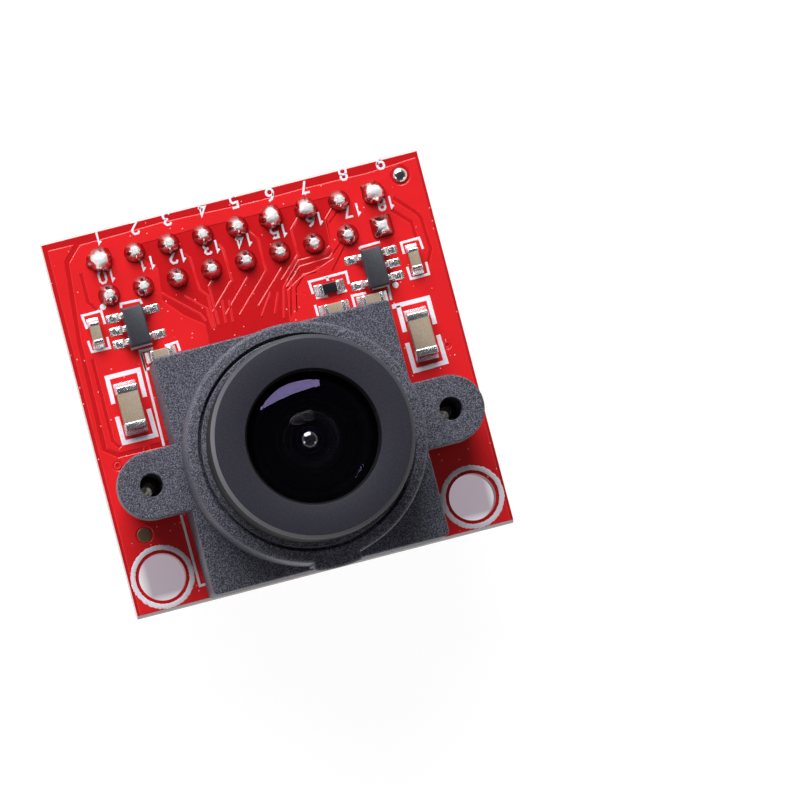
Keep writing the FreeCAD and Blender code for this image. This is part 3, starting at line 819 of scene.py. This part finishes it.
def holder_outline(inset, level):
    """The block with its two round-ended ears, moved inwards by an inset."""
    half = BLOCK_HALF - inset
    ear_half = EAR_HALF_WIDTH - inset
    block = rounded_rectangle((0, 0), (2 * half, 2 * half), BLOCK_CORNER, level, 5)
    points = []
    for side, start in ((1, -math.pi / 2), (-1, math.pi / 2)):
        points += [p for p in block if p[0] * side > 0 and p[1] * side < 0]
        points.append((side * half, -side * ear_half, level))
        ear = (side * EAR_PLACES[1][0], 0.0)
        points += [round_point(ear, ear_half, start + math.pi * step / EAR_SIDES, level)
                   for step in range(EAR_SIDES + 1)]
        points.append((side * half, side * ear_half, level))
        points += [p for p in block if p[0] * side > 0 and p[1] * side > 0]
    return [(x, y + AXIS[1], z) for x, y, z in points]


def collar_angles():
    """Even steps round the collar, and close ones at the two sides of the post."""
    side = math.degrees(math.asin(POST_HALF_WIDTH / POST_REACH))
    close = [sign * (side - 1.8 + 0.2 * step) for sign in (-1, 1) for step in range(19)]
    even = [1.5 * step for step in range(-120, 120) if all(abs(1.5 * step - place) > 0.3 for place in close)]
    return [math.radians(angle - 90) for angle in sorted(close + even)]


def post_reach(angle, longest):
    """Radius of the collar, which carries a post with straight sides and an end on a wider circle."""
    from_post = angle + math.pi / 2
    if math.cos(from_post) < 0.5:
        return COLLAR_RADIUS
    side = POST_HALF_WIDTH / max(abs(math.sin(from_post)), 0.05)
    end = -math.log(sum(math.exp(-POST_SHARPNESS * (reach - longest)) for reach in (side, longest)))
    return max(COLLAR_RADIUS, longest + end / POST_SHARPNESS)


def collar_loop(inset, level, longest=POST_END):
    return [round_point(AXIS, post_reach(angle, longest) - inset, angle, level) for angle in collar_angles()]


def collar_circle(radius, level):
    return [round_point(AXIS, radius, angle, level) for angle in collar_angles()]


def add_block(shape):
    """The block with its ears on their bosses, and the screws' holes through them."""
    def rings(radius, level):
        return [circle(place, radius, level, EAR_SIDES) for place in EAR_PLACES]

    upper = [holder_outline(0.0, EAR_UNDER)]
    upper += [holder_outline(inset, BLOCK_TOP - depth) for inset, depth in TOP_EDGE]
    shape.walls(*upper)
    mouths = rings(EAR_MOUTH, BLOCK_TOP)
    shape.plate(upper[-1], [circle(AXIS, BORE_RADIUS, BLOCK_TOP, BORE_SIDES), *mouths])
    hole_tops, hole_feet = rings(EAR_HOLE, BLOCK_TOP - 0.05), rings(EAR_HOLE, BOARD_TOP)
    boss_tops, boss_feet = rings(BOSS_RADIUS, EAR_UNDER), rings(BOSS_RADIUS, BOARD_TOP)
    for ear in range(2):
        shape.walls(mouths[ear], hole_tops[ear], hole_feet[ear])
        shape.walls(boss_tops[ear], boss_feet[ear])
        shape.plate(boss_feet[ear], [hole_feet[ear]])
    block = square(BLOCK_HALF, BLOCK_CORNER, EAR_UNDER)
    shape.plate(upper[0], [block, *boss_tops])
    shape.walls(block, square(BLOCK_HALF, BLOCK_CORNER, BOARD_TOP))


def add_chamber(shape):
    """The hollow over the sensor, the seat of the filter, its window and the bore for the lens."""
    chamber_foot = square(CHAMBER_HALF, CHAMBER_CORNER, BOARD_TOP)
    chamber_roof = square(CHAMBER_HALF, CHAMBER_CORNER, CHAMBER_ROOF)
    seat_low = square(SEAT_HALF, WINDOW_CORNER, CHAMBER_ROOF, 4)
    seat_high = square(SEAT_HALF, WINDOW_CORNER, SEAT_TOP, 4)
    window_low = square(WINDOW_HALF, WINDOW_CORNER, SEAT_TOP, 4)
    window_high = square(WINDOW_HALF, WINDOW_CORNER, WINDOW_TOP, 4)
    bore_low = circle(AXIS, BORE_RADIUS, WINDOW_TOP, BORE_SIDES)
    bore_high = circle(AXIS, BORE_RADIUS, BLOCK_TOP, BORE_SIDES)
    shape.plate(square(BLOCK_HALF, BLOCK_CORNER, BOARD_TOP), [chamber_foot])
    shape.walls(chamber_foot, chamber_roof)
    shape.plate(chamber_roof, [seat_low])
    shape.walls(seat_low, seat_high)
    shape.plate(seat_high, [window_low])
    shape.walls(window_low, window_high)
    shape.plate(bore_low, [window_high])
    shape.walls(bore_low, bore_high)


def add_collar(shape):
    """The collar with its post, the groove round its top and the bore."""
    loops = [collar_loop(0, BLOCK_TOP - 0.1, POST_FOOT_END), collar_loop(0, COLLAR_TOP - 2.0, POST_FOOT_END)]
    loops += [collar_loop(inset, COLLAR_TOP - depth) for inset, depth in COLLAR_EDGE]
    loops += [collar_circle(radius, COLLAR_TOP - depth) for radius, depth in COLLAR_GROOVE]
    loops.append(collar_circle(BORE_RADIUS, BLOCK_TOP - 0.1))
    shape.walls(*loops, loops[0])


def make_holder():
    shape = Shape()
    add_block(shape)
    add_chamber(shape)
    add_collar(shape)
    stand_in(shape.make("holder_moulded", "board", holder_black, 35), "lens_holder")


make_holder()


# Solder joints at the header
PIN_PITCH = 2.54
ROW_PLACES = (23.10, 20.56)
PINS = [((column - 4) * PIN_PITCH, y) for y in ROW_PLACES for column in range(9)]
JOINT_RADIUS, JOINT_HEIGHT = 0.79, 0.95
BIG_JOINTS = {0: 1.16, 5: 1.06, 6: 1.08, 8: 1.05}
BIG_JOINT_EXTRA = 0.22
SQUARE_JOINT = 17
JOINT_STEPS, JOINT_SIDES = 14, 48


def add_joint(shape, index, place, draw):
    """A dome of solder, a little different from the others. The big ones are lumpy and steep."""
    size = BIG_JOINTS.get(index, 1.0)
    big = size > 1
    foot = JOINT_RADIUS * size + draw.uniform(-0.02, 0.02)
    height = JOINT_HEIGHT + draw.uniform(-0.03, 0.03) + (BIG_JOINT_EXTRA if big else 0)
    tip = 0.22 if big else 0.26
    steepness = 0.6 if big else 0.85
    lumps = 0.3 if big else 0.035
    lean_x, lean_y = draw.uniform(-0.04, 0.04), draw.uniform(-0.04, 0.04)
    seed = Vector((index * 3.1, 0.7, 0.2))
    loops = []
    for step in range(JOINT_STEPS + 1):
        share = math.sin(math.pi / 2 * step / JOINT_STEPS)
        reach = tip + (foot - tip) * (1 - share ** 1.25) ** steepness
        level = BOARD_TOP + height * share - (0.01 if step == 0 else 0)
        axis = (place[0] + lean_x * share, place[1] + lean_y * share)
        loop = []
        for turn in range(JOINT_SIDES):
            angle = 2 * math.pi * turn / JOINT_SIDES
            along, across = math.cos(angle), math.sin(angle)
            way = Vector((along, across, share))
            rough = noise.noise(seed + way * 0.9) + (0.5 * noise.noise(seed + way * 3.1) if big else 0)
            here = reach * (1 + lumps * rough)
            if index == SQUARE_JOINT:
                power = 6 * (1 - share) + 2
                here /= (abs(along) ** power + abs(across) ** power) ** (1 / power)
            loop.append((axis[0] + here * along, axis[1] + here * across, level))
        loops.append(loop)
    shape.loft(loops)


def make_solder_joints():
    """One joint round each pin. The last pin has a square pad."""
    draw = random.Random(4)
    shape = Shape()
    for index, place in enumerate(PINS):
        add_joint(shape, index, place, draw)
    stand_in(shape.make("header_solder", "board", joint_tin, 60), "solder_joints")


make_solder_joints()


# Copper under the mask
COPPER_HEIGHT = 0.035
POUR_MARGIN = 0.2
POUR_SLOPE = 0.06
UNDER_HOLDER = 5.5
GROOVE_WIDTH = 0.22
TRACK_WIDTH, TRACK_SLOPE = 0.2, 0.07
VIA_RADIUS, VIA_RING, VIA_HEIGHT = 0.21, 0.15, 1.5 * COPPER_HEIGHT
LEFT_VIA = spot(118, 466)
RIGHT_VIA = spot(447, 345)
VIAS = [spot(319.5, 270), LEFT_VIA, spot(304, 294), spot(133, 363), RIGHT_VIA, spot(147, 449)]
FIDUCIAL = spot(144.5, 535)
FIDUCIAL_RADIUS = 0.51
BEAD = spot(400, 175)
BEAD_RADIUS, BEAD_HEIGHT = 0.52, 0.26

# Round openings in the two sheets of copper, as place, radius and sides
LEFT_OPENINGS = [(MOUNTING_PLACES[0], 2.02, 32), (LEFT_VIA, 0.34, 16), (FIDUCIAL, 0.62, 24)]
MAIN_OPENINGS = [(MOUNTING_PLACES[1], 2.02, 32), (BEAD, 0.72, 24), (RIGHT_VIA, 0.3, 16)]

# Long grooves in the main sheet, the outlines of both sheets, and the tracks
GROOVES = [
    spots((81, 274), (88.5, 303), (97, 310)),
    spots((92.5, 360), (113, 441), (120, 447.5)),
    spots((393, 198), (417, 213.5), (421, 218), (431, 249), (427.5, 264)),
    spots((391, 210), (411.5, 222.5), (417, 240)),
]
LEFT_POUR = spots((175, 443.5), (118, 457.5), (102.8, 451), (77, 340), (64.5, 262), (74, 244.5), (47.5, 251))
MAIN_POUR_BELOW_ROWS = spots(
    (170, 440), (120, 453.5), (107, 449), (81, 340), (69, 263), (79.5, 245), (107, 237.5), (160, 222.5),
    (200, 213.5), (228, 207.5), (262, 199.5), (300, 189), (327, 182.5), (368, 172.5))
MAIN_POUR_RIGHT_END = spot(410, 158.5)
MAIN_POUR_INSIDE = spots(
    (290, 322), (287, 290), (300, 277), (318, 268), (333, 258), (331, 247), (325, 220), (331, 208),
    (329, 197), (300, 204), (262, 213.5), (228, 222), (200, 228), (160, 239), (128, 248), (147, 262),
    (158, 268), (163, 301), (184, 315), (206, 325), (210, 345))
TRACKS = [
    [(184, 254), (190, 258), (200, 290), (208, 296), (215, 328)],
    [(219, 244), (223, 249), (232, 281), (230, 283), (213, 312)],
    [(249, 232), (258, 239), (266, 271), (264, 275), (240, 315)],
    [(213, 280), (209, 286), (210, 290), (219, 325)], [(298, 218), (291, 230), (298, 255), (282, 280)],
    [(248, 277), (226, 315)], [(282, 268), (259, 306)], [(300, 260), (288, 280)],
    [(300, 268), (287, 287)], [(184, 296), (207, 309), (213, 329)], [(161, 293), (200, 314), (206, 321)],
    [(330, 246), (324, 254), (299, 261), (284, 287), (284, 318)],
    [(340, 243), (330, 258), (300, 267), (291, 283), (291, 316)], [(344, 247), (332, 271)],
    [(333, 207), (326, 219), (331, 245)], [(340, 212), (336, 213), (329, 223)],
    [(316, 272), (304, 275), (296, 288), (297, 312)], [(222, 300), (226, 323)], [(229, 300), (233, 322)],
    [(271, 292), (262, 316)], [(278, 292), (275, 314)],
]


def moved_in(loop, amount):
    """A loop in plan with its points moved inwards, or outwards for a negative amount."""
    area = sum(a[0] * b[1] - b[0] * a[1] for a, b in zip(loop, loop[1:] + loop[:1]))
    loop = loop if area > 0 else loop[::-1]
    return [tuple(Vector(point) + side * amount) for point, side in zip(loop, sideways(loop, True, 0.45))]


def add_sheet(shape, outline, holes):
    """A sheet of copper from its outline in plan. It slopes at its edge and round its holes."""
    rims = []
    for loop, sign in [(outline, 1)] + [(hole, -1) for hole in holes]:
        loops = []
        for part, rise in ((0.0, 0.0), (0.4, 0.62), (1.0, 1.0)):
            level = BOARD_TOP + COPPER_HEIGHT * rise
            loops.append([(x, y, level) for x, y in moved_in(loop, sign * POUR_SLOPE * part)])
        shape.walls(*loops)
        rims.append(loops[-1])
    shape.plate(rims[0], rims[1:])


def outline_strip(points, width):
    """The closed outline of a strip of even width along plan points."""
    left, right = [], []
    for index, point in enumerate(points):
        here = Vector(point)
        before = Vector(points[max(index - 1, 0)])
        after = Vector(points[min(index + 1, len(points) - 1)])
        way = (after - before).normalized()
        side = Vector((-way.y, way.x)) * width / 2
        left.append(tuple(here + side))
        right.append(tuple(here - side))
    return left + right[::-1]


def round_hole(place, radius, sides):
    return [(x, y) for x, y, _ in circle(place, radius, 0, sides)]


def make_pours():
    """Two sheets of copper: a narrow one at the left, and one round the bare area at the header."""
    low_x, low_y = BOARD_LOW[0] + POUR_MARGIN, BOARD_LOW[1] + POUR_MARGIN
    high_x = BOARD_HIGH[0] - POUR_MARGIN
    shape = Shape()
    left = LEFT_POUR + [(low_x, low_y), (-UNDER_HOLDER, low_y), (-UNDER_HOLDER, AXIS[1])]
    add_sheet(shape, left, [round_hole(*opening) for opening in LEFT_OPENINGS])
    main = MAIN_POUR_BELOW_ROWS + [(high_x, MAIN_POUR_RIGHT_END[1]), (high_x, low_y)]
    main += [(UNDER_HOLDER, low_y), (UNDER_HOLDER, 13.0)]
    main += MAIN_POUR_INSIDE + [(-UNDER_HOLDER, 13.0), (-UNDER_HOLDER, 9.0)]
    openings = [outline_strip(points, GROOVE_WIDTH) for points in GROOVES]
    openings += [round_hole(*opening) for opening in MAIN_OPENINGS]
    add_sheet(shape, main, openings)
    shape.make("copper_pours", "board", pour_red, 12)


def make_tracks():
    shape = Shape()
    for track in TRACKS:
        shape.ridge(spots(*track), TRACK_WIDTH, COPPER_HEIGHT, TRACK_SLOPE)
    shape.make("copper_tracks", "board", pour_red, 12)


def make_vias():
    """Rings of mask round the plugged holes between the two faces of the board."""
    shape = Shape()
    for place in VIAS:
        shape.ridge(round_hole(place, VIA_RADIUS, 20), VIA_RING, VIA_HEIGHT, POUR_SLOPE, closed=True)
    shape.make("plugged_vias", "board", pour_red, 50)


def make_bare_metal():
    """The round mark for the assembly machine, and a test pad with its dome of tin."""
    mark = Shape()
    mark.loft([circle(FIDUCIAL, FIDUCIAL_RADIUS - inset, BOARD_TOP + rise, 40)
               for inset, rise in ((0, 0.0), (0, 0.02), (0.02, 0.032))])
    mark.make("round_mark", "board", mark_metal, 30)
    bead = Shape()
    loops = []
    for angle in range(0, 91, 9):
        across, rise = math.cos(math.radians(angle)), math.sin(math.radians(angle))
        loops.append(circle(BEAD, BEAD_RADIUS * across + 0.02, BOARD_TOP + 0.03 + BEAD_HEIGHT * rise, 40))
    bead.loft(loops)
    bead.make("tin_bead", "board", smooth_tin, 60)


make_pours()
make_tracks()
make_vias()
make_bare_metal()


# White print
INK_LEVEL = BOARD_TOP + COPPER_HEIGHT - 0.004
INK_HEIGHT = 0.02
INK_SLOPE = 0.02
THIN_INK, WIDE_INK, DIGIT_INK = 0.19, 0.34, 0.17
THIN_LINES = [
    [(141, 352), (164, 446)], [(181, 515), (200, 586), (206, 584)], [(131, 349), (152, 343)],
    [(87, 329), (82, 316), (101, 311), (105, 324)], [(88, 341), (92, 352), (110, 348), (107, 337)],
    [(404, 254), (401, 243), (419, 238), (423, 249)], [(407, 267), (411, 279), (429, 274), (426, 262)],
    [(359, 249), (360.5, 247.5), (380, 242)], [(372, 289), (388, 285), (391, 300)],
    [(121, 308), (121, 304), (140, 300), (142, 304)], [(313, 294), (309, 282), (346, 272), (349, 284)],
    [(327, 277), (328, 281)], [(316, 298), (328, 296)], [(337, 293), (347, 290.5)],
    [(315, 305), (318, 316)], [(355, 307), (352, 296), (366, 293)],
    [(153, 348.5), (140, 351), (146, 370), (150, 368)], [(165, 346), (177, 342), (180, 351)],
]
WIDE_LINES = [
    [(113.5, 404), (107, 378), (138.5, 370), (145, 397)],
    [(117, 417), (124, 443), (156, 435), (148.5, 409)], [(435, 324), (428, 298), (392, 307)],
    [(398, 306), (405, 332)], [(407, 343), (415, 371), (446, 362), (438, 335)],
]
DOTS = spots((103, 307), (395.5, 285))
DOT_RADIUS = 0.23
RING_OUTER, RING_INNER = 2.3, 1.94
RING_ROUGHNESS = 0.035
RING_SIDES = 160


def make_print():
    shape = Shape()
    for lines, width in ((THIN_LINES, THIN_INK), (WIDE_LINES, WIDE_INK)):
        for line in lines:
            shape.ridge(spots(*line), width, INK_HEIGHT, INK_SLOPE, INK_LEVEL)
    for place in DOTS:
        shape.loft([circle(place, DOT_RADIUS - inset, INK_LEVEL + INK_HEIGHT * rise, 28)
                    for inset, rise in ((0, 0), (0.01, 0.7), (0.03, 1))])
    shape.make("white_print", "board", white_ink, 30)


def make_printed_rings():
    """Rings round the mounting holes, with the slightly rough edges of printed ink."""
    draw = random.Random(12)
    full, shoulder = INK_LEVEL + INK_HEIGHT, INK_LEVEL + 0.012
    shape = Shape()
    for place in MOUNTING_PLACES:
        outer = [RING_OUTER + draw.uniform(-RING_ROUGHNESS, RING_ROUGHNESS) for _ in range(RING_SIDES)]
        inner = [RING_INNER + draw.uniform(-RING_ROUGHNESS, RING_ROUGHNESS) / 2 for _ in range(RING_SIDES)]
        loops = []
        for radii, inset, level in ((inner, 0, BOARD_TOP), (inner, 0, shoulder), (inner, 0.02, full),
                                    (outer, -0.02, full), (outer, 0, shoulder), (outer, 0, BOARD_TOP)):
            loops.append([round_point(place, radius + inset, 2 * math.pi * step / RING_SIDES, level)
                          for step, radius in enumerate(radii)])
        shape.walls(*loops)
    shape.make("printed_rings", "board", white_ink, 30)


# Strokes of the digits on a cell one unit high
STROKES = {
    "0": [[(0.0, 0.2), (0.0, 0.8), (0.15, 1.0), (0.4, 1.0), (0.55, 0.8), (0.55, 0.2), (0.4, 0.0), (0.15, 0.0),
           (0.0, 0.2)]],
    "1": [[(0.1, 0.8), (0.3, 1.0), (0.3, 0.0)]],
    "2": [[(0.0, 0.8), (0.12, 1.0), (0.42, 1.0), (0.55, 0.8), (0.55, 0.62), (0.0, 0.0), (0.57, 0.0)]],
    "3": [[(0.0, 0.85), (0.14, 1.0), (0.4, 1.0), (0.54, 0.82), (0.4, 0.54), (0.2, 0.54)],
          [(0.4, 0.54), (0.55, 0.36), (0.55, 0.16), (0.4, 0.0), (0.14, 0.0), (0.0, 0.14)]],
    "4": [[(0.42, 0.0), (0.42, 1.0), (0.0, 0.3), (0.58, 0.3)]],
    "5": [[(0.52, 1.0), (0.04, 1.0), (0.02, 0.56), (0.4, 0.6), (0.55, 0.42), (0.55, 0.18), (0.4, 0.0),
           (0.12, 0.0), (0.0, 0.12)]],
    "6": [[(0.48, 1.0), (0.2, 0.86), (0.0, 0.45), (0.0, 0.18), (0.14, 0.0), (0.42, 0.0), (0.55, 0.18),
           (0.55, 0.4), (0.42, 0.56), (0.12, 0.56), (0.0, 0.4)]],
    "7": [[(0.0, 1.0), (0.56, 1.0), (0.2, 0.0)]],
    "8": [[(0.14, 0.54), (0.0, 0.4), (0.0, 0.16), (0.14, 0.0), (0.41, 0.0), (0.55, 0.16), (0.55, 0.4),
           (0.41, 0.54), (0.14, 0.54), (0.03, 0.68), (0.03, 0.86), (0.16, 1.0), (0.39, 1.0), (0.52, 0.86),
           (0.52, 0.68), (0.41, 0.54)]],
    "9": [[(0.55, 0.6), (0.43, 0.44), (0.13, 0.44), (0.0, 0.6), (0.0, 0.82), (0.13, 1.0), (0.41, 1.0),
           (0.55, 0.82), (0.55, 0.55), (0.35, 0.14), (0.07, 0.0)]],
}
NUMBER_PLACES = spots(
    (98, 238), (135, 228), (167, 219), (202, 210), (234, 202), (270, 195), (305, 187), (343, 174),
    (380, 163), (107, 276), (147, 263), (178, 256), (212, 247), (244, 240), (279, 231), (315, 219),
    (353, 210), (386, 203))
DIGIT_HEIGHT = 0.86
DIGIT_WIDTH = 0.55 * DIGIT_HEIGHT
DIGIT_STEP = 0.68


def make_numbers():
    """Plain pin numbers beside the header, which read from the header's side of the board."""
    shape = Shape()
    for number, (centre_x, centre_y) in enumerate(NUMBER_PLACES, start=1):
        digits = str(number)
        width = (len(digits) - 1) * DIGIT_STEP + DIGIT_WIDTH
        for index, digit in enumerate(digits):
            start = centre_x - (index * DIGIT_STEP - width / 2)
            for stroke in STROKES[digit]:
                points = [(start - x * DIGIT_HEIGHT, centre_y - (y - 0.5) * DIGIT_HEIGHT) for x, y in stroke]
                shape.ridge(points, DIGIT_INK, INK_HEIGHT, INK_SLOPE, INK_LEVEL)
    shape.make("pin_numbers", "board", white_ink, 30)


make_print()
make_printed_rings()
make_numbers()


# Chips
CAPACITORS = [f"{use}_capacitor_{side}" for use in ("bulk", "output", "input") for side in ("right", "left")]
LONG_CHIP = 2.0
LONG_TERMINAL, SHORT_TERMINAL = 0.55, 0.32
BODY_ROUND, END_ROUND = 0.06, 0.09
BODY_SHORTER, BODY_NARROWER = 0.1, 0.06
PAD_LEVEL = BOARD_TOP + 0.03
PAD_CORNER = 0.12
PAD_LONGER, PAD_WIDER = 0.35, 0.12
FILLET_SHIFT, FILLET_SHARE = 0.16, 0.55
FILLET_STEPS = 7


def add_rounded_block(shape, centre, size, bottom, height, radius):
    """A box with every edge rounded."""
    quarter = [math.radians(angle) for angle in (0, 30, 60, 90)]
    rows = [(radius * (1 - math.sin(angle)), radius * (1 - math.cos(angle))) for angle in quarter]
    rings = [(inset, bottom + rise) for inset, rise in rows]
    rings += [(inset, bottom + height - rise) for inset, rise in rows[::-1]]
    shape.loft([rounded_rectangle(centre, (size[0] - 2 * inset, size[1] - 2 * inset),
                                  max(radius - inset, 0.01), level) for inset, level in rings])


def add_fillet(shape, centre, shift, inner, outer, height):
    """Solder that runs up a terminal from its pad: a concave loft between two rounded rectangles."""
    loops = []
    for step in range(FILLET_STEPS + 1):
        share = step / FILLET_STEPS
        spread = (1 - share) ** 2.0
        size = [low + (high - low) * spread for low, high in zip(inner, outer)]
        place = [here + further * spread for here, further in zip(centre, shift)]
        loops.append(rounded_rectangle(place, size, PAD_CORNER, PAD_LEVEL + height * share))
    shape.loft(loops)


def make_chip(name, finish):
    """The body of a chip and its two plated ends with their solder."""
    low, high = lowest(name + "_ends"), highest(name + "_ends")
    centre = middle(name + "_ends")[:2]
    size_x, size_y, height = [top - bottom for bottom, top in zip(low, high)]
    lies_across = size_x > size_y
    length, width = (size_x, size_y) if lies_across else (size_y, size_x)
    terminal = LONG_TERMINAL if length > LONG_CHIP else SHORT_TERMINAL

    def pair(along, across):
        return (along, across) if lies_across else (across, along)

    body = Shape()
    body_size = pair(length - BODY_SHORTER, width - BODY_NARROWER)
    add_rounded_block(body, centre, body_size, BOARD_TOP + 0.05, height - 0.08, BODY_ROUND)
    stand_in(body.make(name + "_chip", "board", finish, 50), name + "_body")
    ends = Shape()
    for side in (-1, 1):
        offset = pair(side * (length - terminal) / 2, 0.0)
        end_centre = (centre[0] + offset[0], centre[1] + offset[1])
        end_size = pair(terminal, width)
        add_rounded_block(ends, end_centre, end_size, BOARD_TOP + 0.02, height - 0.02, END_ROUND)
        pad_size = pair(terminal + PAD_LONGER, width + PAD_WIDER)
        shift = pair(side * FILLET_SHIFT, 0.0)
        add_fillet(ends, end_centre, shift, end_size, pad_size, height * FILLET_SHARE)
    stand_in(ends.make(name + "_terminals", "board", grainy_tin, 50), name + "_ends")


for capacitor in CAPACITORS + ["supply_capacitor"]:
    make_chip(capacitor, ceramic)
make_chip("link_resistor", resistor_coat)


# Regulators
LEAD_PITCH = 0.95
LEAD_PLACES = [(1, -LEAD_PITCH), (1, 0.0), (1, LEAD_PITCH), (-1, -LEAD_PITCH), (-1, LEAD_PITCH)]
LEAD_WAY = [(0.62, 0.68), (0.93, 0.68), (1.02, 0.62), (1.07, 0.5), (1.1, 0.28), (1.16, 0.16), (1.26, 0.12),
            (1.5, 0.1)]
LEAD_SECTION = [(-0.2, -0.06), (-0.17, -0.075), (0.17, -0.075), (0.2, -0.06),
                (0.2, 0.06), (0.17, 0.075), (-0.17, 0.075), (-0.2, 0.06)]
LEAD_PAD_REACH = 1.45
LEAD_FILLET_SIZE, LEAD_PAD_SIZE, LEAD_FILLET_HEIGHT = (0.55, 0.42), (1.05, 0.62), 0.12


def make_case(name):
    """The case of a regulator, with its draft and rounded edges."""
    low, high = lowest(name + "_case"), highest(name + "_case")
    centre = middle(name + "_case")[:2]
    rings = [(0.1, low[2]), (0.0, low[2] + 0.5)]
    rings += [(0.085, high[2] - 0.05), (0.1, high[2] - 0.02), (0.14, high[2])]
    loops = []
    for inset, level in rings:
        size = (high[0] - low[0] - 2 * inset, high[1] - low[1] - 2 * inset)
        loops.append(rounded_rectangle(centre, size, 0.05, level))
    case = Shape()
    case.loft(loops)
    stand_in(case.make(name + "_package", "board", case_black, 30), name + "_case")


def make_leads(name, side):
    """Five gull-wing leads with their solder, three of them on the given side."""
    x, y, _ = middle(name + "_case")
    leads = Shape()
    for row, offset in LEAD_PLACES:
        out = side * row
        loops = []
        for index, (reach, level) in enumerate(LEAD_WAY):
            ahead = Vector(LEAD_WAY[min(index + 1, len(LEAD_WAY) - 1)])
            behind = Vector(LEAD_WAY[max(index - 1, 0)])
            way = (ahead - behind).normalized()
            loops.append([(x + out * (reach - way.y * up), y + offset + across,
                           BOARD_TOP + level + way.x * up) for across, up in LEAD_SECTION])
        leads.loft(loops)
        pad = (x + out * LEAD_PAD_REACH, y + offset)
        add_fillet(leads, pad, (0, 0), LEAD_FILLET_SIZE, LEAD_PAD_SIZE, LEAD_FILLET_HEIGHT)
    stand_in(leads.make(name + "_gull_leads", "board", grainy_tin, 50), name + "_leads")


for regulator, long_side in (("regulator_right", 1), ("regulator_left", -1)):
    make_case(regulator)
    make_leads(regulator, long_side)
